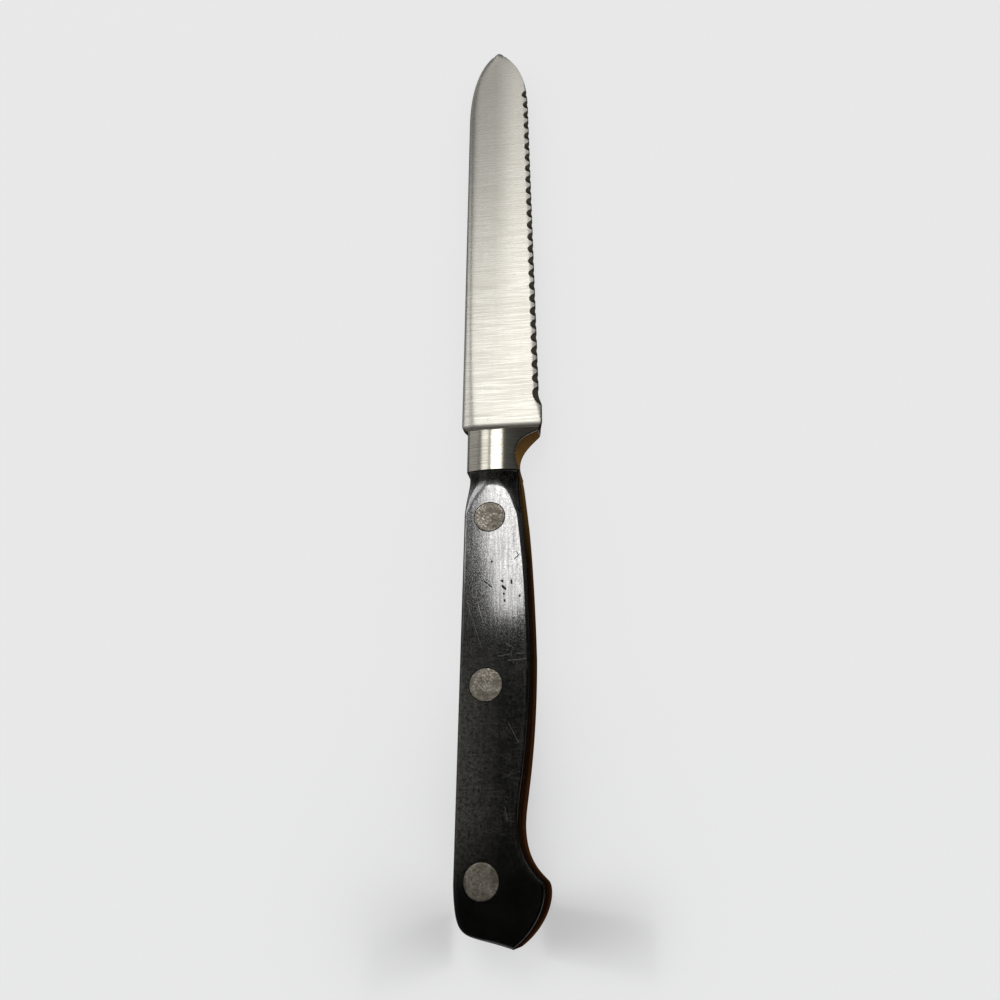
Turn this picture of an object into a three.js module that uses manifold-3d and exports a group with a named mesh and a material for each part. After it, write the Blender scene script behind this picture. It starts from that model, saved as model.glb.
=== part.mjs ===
import * as THREE from 'three';
import { mergeVertices } from 'three/addons/utils/BufferGeometryUtils.js';
import Module from 'manifold-3d';

// Serrated utility knife with a forged blade, bolster and full tang, two grip scales and three
// two-part rivets. It lies on its left scale: +Y runs to the tip, +X to the cutting edge, +Z is up.
// Inside this file x starts at the spine, y at the heel and z at the middle of the thickness.

// Sizes in millimetres
const bladeLength = 130;
const heelHeight = 20.2;
const bladeHeight = 19.65;
const bladeTaper = 2.2;
const tipHeight = 8.8;
const pointLength = 28;
const spineThickness = 1.9;
const tipThickness = 0.7;
const edgeThickness = 0.3;
const spineBand = 1.6;

const toothPitch = 4.1;
const toothHeight = 0.2;
const scallopDepth = 1.6;
const scallopRadius = 6.5;
const plainHeel = 7;
const plainPoint = 16.5;

// The bolster joins the blade to the grip, with a finger guard below the heel.
const bolsterLength = 14;
const bolsterThickness = 10;
const crownRadius = 19;
const frontSetback = 1.5;
const frontSlope = 1.7;
const guardLength = 3.2;
const guardCorner = 1.1;
const spineStep = 2;
const backProud = 0.5;
const notchInset = 0.85;

// The grip's outline: heights from the rivet line, stations from the joint or from the butt.
const gripDroop = THREE.MathUtils.degToRad(0.67);
const axisFromSpine = 8.6;
const gripLength = 102.8;
const gripThickness = 12.6;
const gripEdge = 0.8;
const backHeight = 5.95;
const backTaper = 0.25;
const neckBelly = 6.35;
const neckLength = 13;
const neckDip = 1.9;
const swellBelly = 9.67;
const swellAt = 44.2;
const waistBelly = 7.3;
const waistFromButt = 23.6;
const beakBelly = 12.8;
const beakFromButt = 11.65;
const beakCorner = 0.7;
const buttLow = 6.55;
const buttCorner = 11.1;

// The scale's face rises from the bolster to the flat flank.
const neckRise = 1.7;
const neckRun = 7.4;

const tangThickness = 3;
const rivetFromJoint = 12.9;
const rivetFromButt = 11.9;
const headDiameter = 7.3;
const headThickness = 1.6;
const tubeDiameter = 5;
const pinDiameter = 3;

// Clearances, and how deep joined solids run into each other
const seatGap = 0.3;
const rivetGap = 0.3;
const overlap = 0.5;

const wasm = await Module();
wasm.setup();

function toSolid(geometry) {
  const bare = geometry.clone();
  bare.deleteAttribute('normal');
  bare.deleteAttribute('uv');
  const merged = mergeVertices(bare, 1e-5);
  const mesh = new wasm.Mesh({
    numProp: 3,
    vertProperties: new Float32Array(merged.attributes.position.array),
    triVerts: new Uint32Array(merged.index.array),
  });
  return new wasm.Manifold(mesh);
}

function toGeometry(solid) {
  const { numProp, vertProperties, triVerts } = solid.getMesh();
  const corners = new Float32Array((vertProperties.length / numProp) * 3);
  for (let i = 0; i < corners.length / 3; i += 1) {
    for (let axis = 0; axis < 3; axis += 1) {
      corners[3 * i + axis] = vertProperties[numProp * i + axis];
    }
  }
  const geometry = new THREE.BufferGeometry();
  geometry.setAttribute('position', new THREE.BufferAttribute(corners, 3));
  geometry.setIndex(new THREE.BufferAttribute(new Uint32Array(triVerts), 1));
  geometry.computeVertexNormals();
  return geometry;
}

// A closed body through sections of equal point count. Each section is a list of Vector3 that
// runs clockwise seen along the direction of the loft.
function loft(sections) {
  const ring = sections[0].length;
  const corners = sections.flat();
  const faces = [];
  for (let s = 0; s + 1 < sections.length; s += 1) {
    for (let i = 0; i < ring; i += 1) {
      const a = s * ring + i;
      const b = s * ring + ((i + 1) % ring);
      faces.push(a, b, a + ring, b, b + ring, a + ring);
    }
  }
  const last = (sections.length - 1) * ring;
  for (let i = 1; i + 1 < ring; i += 1) {
    faces.push(0, i + 1, i);
    faces.push(last, last + i, last + i + 1);
  }
  const geometry = new THREE.BufferGeometry().setFromPoints(corners);
  geometry.setIndex(faces);
  return toSolid(geometry);
}

function extrude(shape, depth, options = {}) {
  return new THREE.ExtrudeGeometry(shape, { depth, bevelEnabled: false, curveSegments: 12, ...options });
}

// A prism whose outline lies in x and y, from z = low to z = high.
function plate(shape, low, high) {
  return extrude(shape, high - low).translate(0, 0, low);
}

function box(low, high) {
  const size = high.clone().sub(low);
  const centre = low.clone().add(high).multiplyScalar(0.5);
  return new THREE.BoxGeometry(size.x, size.y, size.z).translate(centre.x, centre.y, centre.z);
}

// Turns points of the grip's own frame, across and along the rivet line, into the knife's frame.
const gripFrame = new THREE.Matrix4()
  .makeTranslation(axisFromSpine, 0, 0)
  .multiply(new THREE.Matrix4().makeRotationZ(-gripDroop));

function inGrip(geometry) {
  return toSolid(geometry.applyMatrix4(gripFrame));
}

function inGripFrame(points) {
  return points.map((point) => point.applyMatrix4(gripFrame));
}

// Blade: a wedge that thins to the tip, with a softened spine
const pointStart = bladeLength - pointLength;
const tip = new THREE.Vector2(tipHeight, bladeLength);
const pointEdge = bladeHeight - bladeTaper;
const flareStart = 0.7 * plainHeel;
const flareEnd = 1.1 * plainHeel;

const spineCurve = new THREE.CubicBezierCurve(
  new THREE.Vector2(0, pointStart),
  new THREE.Vector2(0, pointStart + 0.43 * pointLength),
  new THREE.Vector2(0.25 * tipHeight, bladeLength - 0.14 * pointLength),
  tip,
);
const edgeCurve = new THREE.CubicBezierCurve(
  new THREE.Vector2(pointEdge, pointStart),
  new THREE.Vector2(0.99 * pointEdge, pointStart + 0.36 * pointLength),
  new THREE.Vector2(0.985 * pointEdge, bladeLength - 0.28 * pointLength),
  tip,
);

function curveAt(curve, y) {
  let low = 0;
  let high = 1;
  for (let step = 0; step < 40; step += 1) {
    const middle = (low + high) / 2;
    if (curve.getPoint(middle).y < y) {
      low = middle;
    } else {
      high = middle;
    }
  }
  return curve.getPoint(low).x;
}

function spineAt(y) {
  return y <= pointStart ? 0 : curveAt(spineCurve, y);
}

function edgeAt(y) {
  if (y > pointStart) {
    return curveAt(edgeCurve, y);
  }
  const tapered = bladeHeight - (bladeTaper * y) / pointStart;
  return THREE.MathUtils.lerp(heelHeight, tapered, THREE.MathUtils.smoothstep(y, flareStart, flareEnd));
}

function thicknessAt(y) {
  return THREE.MathUtils.lerp(spineThickness, tipThickness, Math.min(1, Math.max(0, y / bladeLength)));
}

function bladeSection(y) {
  const spine = spineAt(y);
  const edge = edgeAt(y);
  const band = Math.min(spineBand, 0.2 * (edge - spine));
  const half = thicknessAt(y) / 2;
  const thin = Math.min(edgeThickness / 2, half);
  return [
    new THREE.Vector3(spine, y, 0.6 * half),
    new THREE.Vector3(spine + band, y, half),
    new THREE.Vector3(edge, y, thin),
    new THREE.Vector3(edge, y, -thin),
    new THREE.Vector3(spine + band, y, -half),
    new THREE.Vector3(spine, y, -0.6 * half),
  ];
}

function halfThicknessAt(inset, y) {
  const half = thicknessAt(y) / 2;
  const thin = edgeThickness / 2;
  const run = edgeAt(y) - spineAt(y) - spineBand;
  return thin + ((half - thin) * inset) / run;
}

function bladeStations() {
  const stations = [-overlap];
  const flareSteps = 5;
  for (let i = 0; i <= flareSteps; i += 1) {
    stations.push(THREE.MathUtils.lerp(flareStart, flareEnd, i / flareSteps));
  }
  const straightSteps = 14;
  for (let i = 1; i <= straightSteps; i += 1) {
    stations.push(THREE.MathUtils.lerp(flareEnd, pointStart, i / straightSteps));
  }
  const pointSteps = 16;
  for (let i = 1; i < pointSteps; i += 1) {
    const part = Math.sin((Math.PI / 2) * (i / pointSteps));
    stations.push(pointStart + pointLength * part);
  }
  stations.push(bladeLength - 0.002 * pointLength);
  return stations;
}

// A round cutter that grinds one scallop into the right flank. Its lowest line runs from the edge on
// the left side up to the right flank, so the scallop is deepest at the edge and ends inside the flank.
function scallopCutter(y) {
  const step = toothPitch / 8;
  const along = new THREE.Vector3(edgeAt(y + step) - edgeAt(y - step), 2 * step, 0).normalize();
  const inward = new THREE.Vector3(-along.y, along.x, 0);
  const up = new THREE.Vector3(0, 0, 1);
  const edge = new THREE.Vector3(edgeAt(y), y, 0);
  const foot = edge.clone().addScaledVector(inward, toothHeight).addScaledVector(up, -edgeThickness / 2);
  const top = edge.clone().addScaledVector(inward, scallopDepth);
  top.addScaledVector(up, halfThicknessAt(scallopDepth, y));
  const axis = top.clone().sub(foot).normalize();
  const out = new THREE.Vector3().crossVectors(axis, along).normalize();
  if (out.z < 0) {
    out.negate();
  }
  const side = new THREE.Vector3().crossVectors(axis, out);
  const length = 6 * scallopDepth;
  const centre = foot.clone().addScaledVector(axis, length / 4).addScaledVector(out, scallopRadius);
  const frame = new THREE.Matrix4().makeBasis(side, axis, out).setPosition(centre);
  return toSolid(new THREE.CylinderGeometry(scallopRadius, scallopRadius, length, 96).applyMatrix4(frame));
}

function makeBlade() {
  let blade = loft(bladeStations().map(bladeSection));
  const run = bladeLength - plainPoint - plainHeel;
  const teeth = Math.max(1, Math.round(run / toothPitch));
  for (let i = 0; i < teeth; i += 1) {
    blade = blade.subtract(scallopCutter(plainHeel + (run * (i + 0.5)) / teeth));
  }
  return blade;
}

// Bolster: its plan, its crowned cross-section and its side view, each drawn as a prism, meet.
function makeBolster() {
  const back = axisFromSpine - backHeight - backProud;
  const belly = axisFromSpine + neckBelly;
  const notch = belly - notchInset;
  const rear = -bolsterLength;
  const guardTip = heelHeight - 0.55 * guardCorner;
  const plan = new THREE.Shape();
  plan.moveTo(0, overlap);
  plan.bezierCurveTo(0, -0.6 * spineStep, back, -0.5 * spineStep, back, -2 * spineStep);
  plan.lineTo(back, 2 * rear);
  plan.lineTo(belly, 2 * rear);
  plan.lineTo(belly, rear);
  plan.bezierCurveTo(belly - 0.6 * notchInset, 0.87 * rear, notch, 0.8 * rear, notch, 0.72 * rear);
  plan.bezierCurveTo(
    notch, 0.47 * rear,
    notch + 0.42 * (heelHeight - notch), -1.45 * guardLength,
    heelHeight - guardCorner, -guardLength,
  );
  plan.quadraticCurveTo(guardTip, guardCorner / 4 - guardLength, guardTip, guardCorner - guardLength);
  plan.lineTo(heelHeight, overlap);
  plan.closePath();

  const rim = spineThickness / 2;
  const thick = bolsterThickness;
  const crownFront = -frontSetback - (frontSlope * thick) / (thick / 2 - rim) / 2;
  const side = new THREE.Shape();
  side.moveTo(overlap, rim);
  side.lineTo(-frontSetback, rim);
  side.lineTo(crownFront, thick / 2 + rim);
  side.lineTo(2 * rear, thick / 2 + rim);
  side.lineTo(2 * rear, -thick / 2 - rim);
  side.lineTo(crownFront, -thick / 2 - rim);
  side.lineTo(-frontSetback, -rim);
  side.lineTo(overlap, -rim);
  side.closePath();
  const sidePrism = extrude(side, 4 * heelHeight).rotateX(Math.PI / 2).rotateZ(Math.PI / 2);
  sidePrism.translate(-heelHeight, 0, 0);

  const crown = loft([2 * rear, -2 * rear].map((v) => inGripFrame(crownSection(v, thick / 2))));
  const front = box(
    new THREE.Vector3(-4 * heelHeight, rear, -thick),
    new THREE.Vector3(4 * heelHeight, -2 * rear, thick),
  );
  return toSolid(plate(plan, -thick, thick))
    .intersect(toSolid(sidePrism))
    .intersect(crown)
    .intersect(inGrip(front));
}

// The crowned cross-section shared by the bolster and the neck of the scales, in the grip's frame.
function crownSection(v, halfThickness) {
  const upper = [];
  const wide = 2 * beakBelly;
  const steps = 32;
  for (let i = 0; i <= steps; i += 1) {
    const u = -wide + (2 * wide * i) / steps;
    const drop = (u * u) / (2 * crownRadius);
    upper.push(new THREE.Vector3(u, v, Math.max(edgeThickness, halfThickness - drop)));
  }
  const lower = upper.map((point) => new THREE.Vector3(point.x, point.y, -point.z)).reverse();
  return upper.concat(lower);
}

// The outline of the grip in its own frame, shared by the tang and both scales. It starts a little
// ahead of the joint, and the bolster or a cut ends it there.
const jointAt = -bolsterLength;
const buttAt = jointAt - gripLength;

function gripOutline(ahead) {
  const waistAt = gripLength - waistFromButt;
  const beakAt = gripLength - beakFromButt;
  const swellRun = waistAt - swellAt;
  const beakRun = beakAt - waistAt;
  const round = beakCorner;
  const at = (u, fromJoint) => [u, jointAt - fromJoint];
  const mix = (a, b, part) => a + (b - a) * part;

  const shape = new THREE.Shape();
  shape.moveTo(...at(-backHeight, -ahead));
  shape.lineTo(...at(neckBelly, -ahead));
  shape.lineTo(...at(neckBelly, 0));
  shape.bezierCurveTo(
    ...at(mix(neckBelly, swellBelly, 0.26), 0.07 * swellAt),
    ...at(mix(neckBelly, swellBelly, 0.8), 0.465 * swellAt),
    ...at(swellBelly, swellAt),
  );
  shape.bezierCurveTo(
    ...at(swellBelly, swellAt + 0.62 * swellRun),
    ...at(waistBelly, waistAt - 0.12 * swellRun),
    ...at(waistBelly, waistAt),
  );
  shape.bezierCurveTo(
    ...at(waistBelly, waistAt + 0.59 * beakRun),
    ...at(mix(waistBelly, beakBelly, 0.55), waistAt + 0.79 * beakRun),
    ...at(beakBelly - 0.75 * round, beakAt - round),
  );
  shape.quadraticCurveTo(...at(beakBelly, beakAt), ...at(beakBelly, beakAt + 2 * round));
  shape.bezierCurveTo(
    ...at(beakBelly, gripLength - 0.55 * beakFromButt),
    ...at(mix(buttLow, beakBelly, 0.53), gripLength - 0.19 * beakFromButt),
    ...at(buttLow, gripLength),
  );
  shape.bezierCurveTo(
    ...at(mix(buttLow, -backHeight, 0.8), gripLength - 0.26 * buttCorner),
    ...at(4 * backTaper - backHeight, gripLength - 0.02 * buttCorner),
    ...at(backTaper - backHeight, gripLength - buttCorner),
  );
  shape.lineTo(...at(-backHeight, neckLength));
  shape.bezierCurveTo(
    ...at(-backHeight, 0.58 * neckLength),
    ...at(neckDip - backHeight, 0.31 * neckLength),
    ...at(-backHeight, 0),
  );
  shape.closePath();
  return shape;
}

// The middle rivet is halfway between the outer two.
const rivetSpacing = (gripLength - rivetFromJoint - rivetFromButt) / 2;
const rivets = ['front', 'middle', 'rear'].map((name, i) => ({
  name,
  v: jointAt - rivetFromJoint - i * rivetSpacing,
}));

function drill(diameter, v, low, high) {
  const bore = new THREE.CylinderGeometry(diameter / 2, diameter / 2, high - low, 32);
  return bore.rotateX(Math.PI / 2).translate(0, v, (low + high) / 2);
}

function makeForging() {
  const tang = inGrip(plate(gripOutline(overlap), -tangThickness / 2, tangThickness / 2));
  let forging = makeBlade().add(makeBolster()).add(tang);
  for (const rivet of rivets) {
    forging = forging.subtract(
      inGrip(drill(tubeDiameter + 2 * rivetGap, rivet.v, -tangThickness, tangThickness)),
    );
  }
  return forging;
}

// The limit of a scale's face: it rises from the bolster's crown to the flat flank.
function neckLimit() {
  const sections = [];
  const half = bolsterThickness / 2;
  const rise = gripThickness / 2 - half + neckRise;
  const steps = 14;
  const reach = 2.6 * neckRun;
  for (let i = 0; i <= steps; i += 1) {
    const s = (reach * i) / steps;
    sections.push(crownSection(jointAt - s, half + rise * (1 - Math.exp(-s / neckRun))));
  }
  sections.push(crownSection(jointAt - 1.03 * reach, 4 * gripThickness));
  sections.push(crownSection(2 * buttAt, 4 * gripThickness));
  return loft(sections.reverse().map(inGripFrame));
}

function makeScale(side) {
  const flank = gripThickness / 2;
  const body = extrude(gripOutline(4 * gripEdge), gripThickness - 2 * gripEdge, {
    bevelEnabled: true,
    bevelThickness: gripEdge,
    bevelSize: gripEdge,
    bevelOffset: -gripEdge,
    bevelSegments: 2,
  }).translate(0, 0, gripEdge - flank);
  const inner = tangThickness / 2 + seatGap;
  const wide = 4 * beakBelly;
  const keep = box(
    new THREE.Vector3(-wide, 2 * buttAt, side > 0 ? inner : -2 * flank),
    new THREE.Vector3(wide, jointAt - seatGap, side > 0 ? 2 * flank : -inner),
  );
  let scale = inGrip(body).intersect(inGrip(keep)).intersect(neckLimit());
  const seat = flank - headThickness - seatGap;
  for (const rivet of rivets) {
    const low = side > 0 ? seat : -2 * flank;
    const high = side > 0 ? 2 * flank : -seat;
    scale = scale.subtract(inGrip(drill(headDiameter + 2 * rivetGap, rivet.v, low, high)));
    scale = scale.subtract(inGrip(drill(tubeDiameter + 2 * rivetGap, rivet.v, -2 * flank, 2 * flank)));
  }
  return scale;
}

function turned(points) {
  return new THREE.LatheGeometry(points.map(([r, z]) => new THREE.Vector2(r, z)), 32).rotateX(Math.PI / 2);
}

const rivetTop = gripThickness / 2;
const rivetSeat = rivetTop - headThickness;
const tubeEnd = rivetGap - rivetSeat;
const bore = pinDiameter / 2 + rivetGap;

function makeTube(v) {
  const profile = [
    [0, rivetSeat],
    [bore, rivetSeat],
    [bore, tubeEnd],
    [tubeDiameter / 2, tubeEnd],
    [tubeDiameter / 2, rivetSeat],
    [headDiameter / 2, rivetSeat],
    [headDiameter / 2, rivetTop],
    [0, rivetTop],
  ];
  return inGrip(turned(profile).translate(0, v, 0));
}

function makePin(v) {
  const profile = [
    [0, -rivetTop],
    [headDiameter / 2, -rivetTop],
    [headDiameter / 2, -rivetSeat],
    [pinDiameter / 2, -rivetSeat],
    [pinDiameter / 2, rivetSeat - rivetGap],
    [0, rivetSeat - rivetGap],
  ];
  return inGrip(turned(profile).translate(0, v, 0));
}

const steel = new THREE.MeshStandardMaterial({ color: 0xb9b6ac, roughness: 0.35, metalness: 1 });
const polymer = new THREE.MeshStandardMaterial({ color: 0x1b1a18, roughness: 0.55, metalness: 0 });
const rivetMetal = new THREE.MeshStandardMaterial({ color: 0x8a8178, roughness: 0.5, metalness: 1 });

const knife = new THREE.Group();

function addPiece(name, solid, material) {
  const mesh = new THREE.Mesh(toGeometry(solid), material);
  mesh.name = name;
  knife.add(mesh);
}

addPiece('blade_bolster_tang', makeForging(), steel);
addPiece('scale_right', makeScale(1), polymer);
addPiece('scale_left', makeScale(-1), polymer);
for (const rivet of rivets) {
  addPiece(`rivet_${rivet.name}_tube`, makeTube(rivet.v), rivetMetal);
  addPiece(`rivet_${rivet.name}_pin`, makePin(rivet.v), rivetMetal);
}

// The origin is under the middle of the knife as it lies.
const bounds = new THREE.Box3().setFromObject(knife);
const middle = bounds.getCenter(new THREE.Vector3());
knife.position.set(-middle.x, -middle.y, -bounds.min.z);

export default knife;
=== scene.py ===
import math

import bmesh
import bpy
import numpy as np
from bpy.props import FloatProperty, FloatVectorProperty, IntProperty, PointerProperty
from mathutils import Matrix, Vector


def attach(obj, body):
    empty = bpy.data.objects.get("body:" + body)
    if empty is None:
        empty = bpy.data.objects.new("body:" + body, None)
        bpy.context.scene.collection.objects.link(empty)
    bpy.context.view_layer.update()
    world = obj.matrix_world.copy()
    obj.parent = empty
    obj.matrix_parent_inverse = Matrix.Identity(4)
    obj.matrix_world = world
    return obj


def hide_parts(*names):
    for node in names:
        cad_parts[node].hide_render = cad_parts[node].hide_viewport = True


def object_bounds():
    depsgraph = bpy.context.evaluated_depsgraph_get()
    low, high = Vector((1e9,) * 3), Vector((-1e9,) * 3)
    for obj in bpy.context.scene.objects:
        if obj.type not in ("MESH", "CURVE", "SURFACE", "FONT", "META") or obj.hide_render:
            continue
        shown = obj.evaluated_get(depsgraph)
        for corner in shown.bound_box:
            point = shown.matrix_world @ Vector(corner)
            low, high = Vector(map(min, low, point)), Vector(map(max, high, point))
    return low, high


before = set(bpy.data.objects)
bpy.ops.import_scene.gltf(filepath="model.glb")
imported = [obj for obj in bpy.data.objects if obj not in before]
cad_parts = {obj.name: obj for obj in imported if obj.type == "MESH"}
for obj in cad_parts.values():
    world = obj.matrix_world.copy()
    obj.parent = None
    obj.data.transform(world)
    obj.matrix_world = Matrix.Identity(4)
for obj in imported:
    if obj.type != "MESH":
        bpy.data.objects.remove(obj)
CAD_LOW, CAD_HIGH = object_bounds()

bl_info = {
    "name": "Serrated utility knife",
    "version": (1, 0, 0),
    "blender": (4, 5, 0),
    "location": "View3D > Sidebar > Knife",
    "description": "Builds a forged serrated utility knife with riveted grip scales, and its stage",
    "category": "Object",
}

MM = 0.001
BODY = "root"
RIVET_NAMES = ("front", "middle", "rear")
MERGE_DISTANCE = 1e-7
SHARP_ANGLE = math.radians(38)
WHEEL_SIDES = 160
DRILL_SIDES = 96


def linear(code):
    """Turns an sRGB hex colour into the linear values that a shader takes."""
    channels = [int(code[i:i + 2], 16) / 255 for i in (1, 3, 5)]
    return [c / 12.92 if c <= 0.04045 else ((c + 0.055) / 1.055) ** 2.4 for c in channels]


# Sizes and colours that a user would change

def size(name, description, millimetres):
    """A length of the knife, held in metres."""
    return FloatProperty(
        name=name, description=description, default=millimetres * MM, unit="LENGTH", precision=5
    )


def colour(name, description, code):
    return FloatVectorProperty(
        name=name, description=description, default=linear(code), subtype="COLOR", min=0, max=1
    )


class BladeSizes(bpy.types.PropertyGroup):
    """The ground blade, with x from the spine and y from the heel."""

    length: size("Length", "From the heel to the tip", 130)
    heel_height: size("Heel height", "From the spine to the plain heel's edge", 20.2)
    height: size("Height", "Height that the serrated edge tapers from", 19.65)
    taper: size("Taper", "How much lower the blade is where the point starts", 2.2)
    tip_height: size("Tip height", "From the spine line to the tip", 8.8)
    point_length: size("Point length", "Length of the curved point", 28)
    tip_radius: size("Tip radius", "Worn rounding of the tip", 1.35)
    spine_thickness: size("Spine thickness", "Thickness at the heel", 1.9)
    tip_thickness: size("Tip thickness", "Thickness at the tip", 0.7)
    edge_thickness: size("Edge thickness", "Thickness left along the edge", 0.3)
    spine_band: size("Spine band", "Width of the softened band along the spine", 1.6)
    heel_band: size("Heel band", "How much wider the band is at the heel", 1.8)
    bevel: size("Bevel", "Width of the bevel along the edge", 1.45)
    bevel_slope: FloatProperty(
        name="Bevel slope", description="Fall of the bevel against the flank", default=0.072
    )
    plain_heel: size("Plain heel", "Length of edge at the heel without teeth", 7)
    plain_point: size("Plain point", "Length of edge at the point without teeth", 16.5)
    pitch: size("Tooth pitch", "Distance from tooth to tooth", 4.1)
    tooth_height: size("Tooth height", "How far the scallops cut back the edge", 0.2)
    scallop_depth: size("Scallop depth", "How far a scallop reaches up the flank", 1.6)
    scallop_radius: size("Scallop radius", "Radius of the grinding wheel's rim", 6.5)
    runout_radius: size("Run-out radius", "Radius in which the last scallop runs out to the heel", 20)


class BolsterSizes(bpy.types.PropertyGroup):
    """The forged bolster between the blade and the grip."""

    length: size("Length", "From the heel to the grip", 14)
    thickness: size("Thickness", "Thickness at the crown", 10)
    crown_radius: size("Crown radius", "Radius of the crowned faces", 19)
    setback: size("Front setback", "Where the front slope starts behind the heel", 1.5)
    slope: size("Front slope", "Length of the front slope", 1.7)
    fillet: size("Fillet", "Radius in which the blade runs up to the slope", 3.2)
    fillet_start: size("Fillet start", "Where that radius starts on the blade", 0.9)
    crease: size("Crease", "Softening between the fillet and the slope", 0.4)
    crest: size("Crest", "Softening of the slope's upper edge", 0.2)
    guard_length: size("Guard length", "Length of the finger guard below the heel", 3.2)
    guard_corner: size("Guard corner", "Rounding of the guard's lower corner", 1.1)
    spine_step: size("Spine step", "Length of the step below the spine", 2)
    back_proud: size("Back proud", "How far the bolster's back stands over the grip", 0.5)
    notch: size("Notch", "Depth of the finger notch below the guard", 0.85)
    corner: size("Corner", "Rounding of the bolster's long edges", 0.5)


class GripSizes(bpy.types.PropertyGroup):
    """The grip's outline, from the rivet line and from the joint with the bolster."""

    droop: FloatProperty(
        name="Droop",
        description="Angle from the blade down to the grip",
        default=math.radians(0.67),
        subtype="ANGLE",
    )
    axis: size("Axis", "From the spine line to the rivet line", 8.6)
    length: size("Length", "From the joint to the butt", 102.8)
    thickness: size("Thickness", "From flank to flank", 12.6)
    edge: size("Edge", "Rounding of the flank's edges", 0.35)
    belly_edge: size("Belly edge", "Rounding of the flank's edge along the belly", 0.75)
    back: size("Back", "From the rivet line to the back", 5.95)
    back_taper: size("Back taper", "How much the back closes in towards the butt", 0.25)
    neck_belly: size("Neck belly", "From the rivet line to the belly at the joint", 6.35)
    neck_length: size("Neck length", "Length of the hollow in the back", 13)
    neck_dip: size("Neck dip", "Depth of the hollow in the back", 1.9)
    swell_belly: size("Swell", "From the rivet line to the fullest belly", 9.67)
    swell_at: size("Swell station", "From the joint to the fullest belly", 44.2)
    waist_belly: size("Waist", "From the rivet line to the waist", 7.3)
    waist_from_butt: size("Waist station", "From the butt to the waist", 23.6)
    beak_belly: size("Beak", "From the rivet line to the beak", 12.8)
    beak_from_butt: size("Beak station", "From the butt to the beak", 11.65)
    beak_corner: size("Beak corner", "Rounding of the beak", 0.7)
    butt_low: size("Butt low point", "From the rivet line to the lowest point", 6.55)
    butt_corner: size("Butt corner", "Rounding from the back to the butt", 11.1)
    neck_rise: size("Neck rise", "How far the neck's slope would pass the flank", 1.7)
    neck_run: size("Neck run", "Length in which the neck rises", 7.4)
    joint_step: size("Joint step", "How far the scale lies under the bolster's crown at the joint", 0.26)
    shoulder: size("Shoulder", "How much wider the belly's rounding is behind the neck", 2.1)
    shoulder_run: size("Shoulder run", "Length in which that widening fades", 15)
    crown: size("Flank crown", "How much the flank falls towards its edges", 0.06)
    tang: size("Tang", "Thickness of the tang", 3)
    joint_gap: size("Joint gap", "Fine gap along the joints", 0.06)


class RivetSizes(bpy.types.PropertyGroup):
    """The two-part rivets."""

    from_joint: size("From joint", "From the joint to the front rivet", 12.9)
    from_butt: size("From butt", "From the butt to the rear rivet", 11.9)
    head: size("Head", "Diameter of the head", 7.3)
    head_thickness: size("Head thickness", "Thickness of the head", 1.6)
    tube: size("Tube", "Diameter of the tube's shank", 5)
    pin: size("Pin", "Diameter of the pin's shank", 3)
    gap: size("Gap", "Fine gap round the head and shank", 0.09)
    sunk: size("Sunk", "How far the head lies under the flank", 0.02)
    turn_seed: IntProperty(name="Seed", description="Seed of each rivet's turn", default=4)


class KnifeColours(bpy.types.PropertyGroup):
    """Colours of the real materials."""

    steel_light: colour("Steel", "Ground stainless steel", "#B4B2AC")
    steel_dark: colour("Steel lines", "Darker grinding lines", "#A6A39B")
    speck: colour("Specks", "Stains on the blade", "#6F6A5E")
    polish_light: colour("Bolster", "Polished stainless steel", "#C6C3B8")
    polish_dark: colour("Bolster lines", "Polishing lines", "#A8A498")
    hollow_light: colour("Scallops", "Freshly ground steel", "#A09A8C")
    hollow_dark: colour("Scallop lines", "Grinding lines in the scallops", "#7C7567")
    # The two tang colours are painted shade: the tang's steel edge between the scales is drawn dark brown.
    tang_painted_shade: colour("Tang", "Steel edge of the tang", "#5A4C3A")
    tang_painted_deep_shade: colour("Tang deep shade", "Deeper painted shade on the tang", "#3A3026")
    polymer: colour("Polymer", "Black acetal", "#060605")
    polymer_grey: colour("Worn polymer", "Acetal dulled by washing", "#0D0D0C")
    polymer_dull: colour("Dull polymer", "Acetal rubbed grey along the back", "#3A3935")
    scratch: colour("Scratch", "Pale scratch in the acetal", "#5C5A56")
    pit: colour("Pit", "Dirt in pits and cracks", "#040404")
    rivet: colour("Rivet", "Dulled aluminium", "#A69F92")
    rivet_fleck: colour("Rivet fleck", "Bare aluminium", "#F2ECE0")
    rivet_pit: colour("Rivet pit", "Corroded aluminium", "#5C564C")
    floor: colour("Floor", "Pale floor", "#9E9F9F")
    card: colour("Card", "Brown card that the belly mirrors", "#6B4F28")
    card_red: colour("Card by the butt", "Redder end of that card", "#704424")
    card_dark: colour("Dark card", "Dark card that the scallops mirror", "#2E2A22")
    floor_far: colour("Floor along the blade", "Darker paper with a stronger glow", "#656565")


# Small helpers

def linked(name, data):
    """A new object in the scene."""
    thing = bpy.data.objects.new(name, data)
    bpy.context.scene.collection.objects.link(thing)
    return thing


def lerp(a, b, part):
    return a + (b - a) * part


def ease(value, low, high):
    """Rises smoothly from 0 at low to 1 at high."""
    part = min(1.0, max(0.0, (value - low) / (high - low)))
    return part * part * (3 - 2 * part)


def soft_min(a, b, blend):
    """The lower of two heights, with the crease between them softened."""
    overlap = max(blend - abs(a - b), 0.0) / blend
    return min(a, b) - overlap * overlap * blend / 4


def soft_max(a, b, blend):
    return -soft_min(-a, -b, blend)


def bezier(points, part):
    """A point of the Bezier curve with these control points."""
    while len(points) > 1:
        points = [(lerp(a[0], b[0], part), lerp(a[1], b[1], part)) for a, b in zip(points, points[1:])]
    return points[0]


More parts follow.
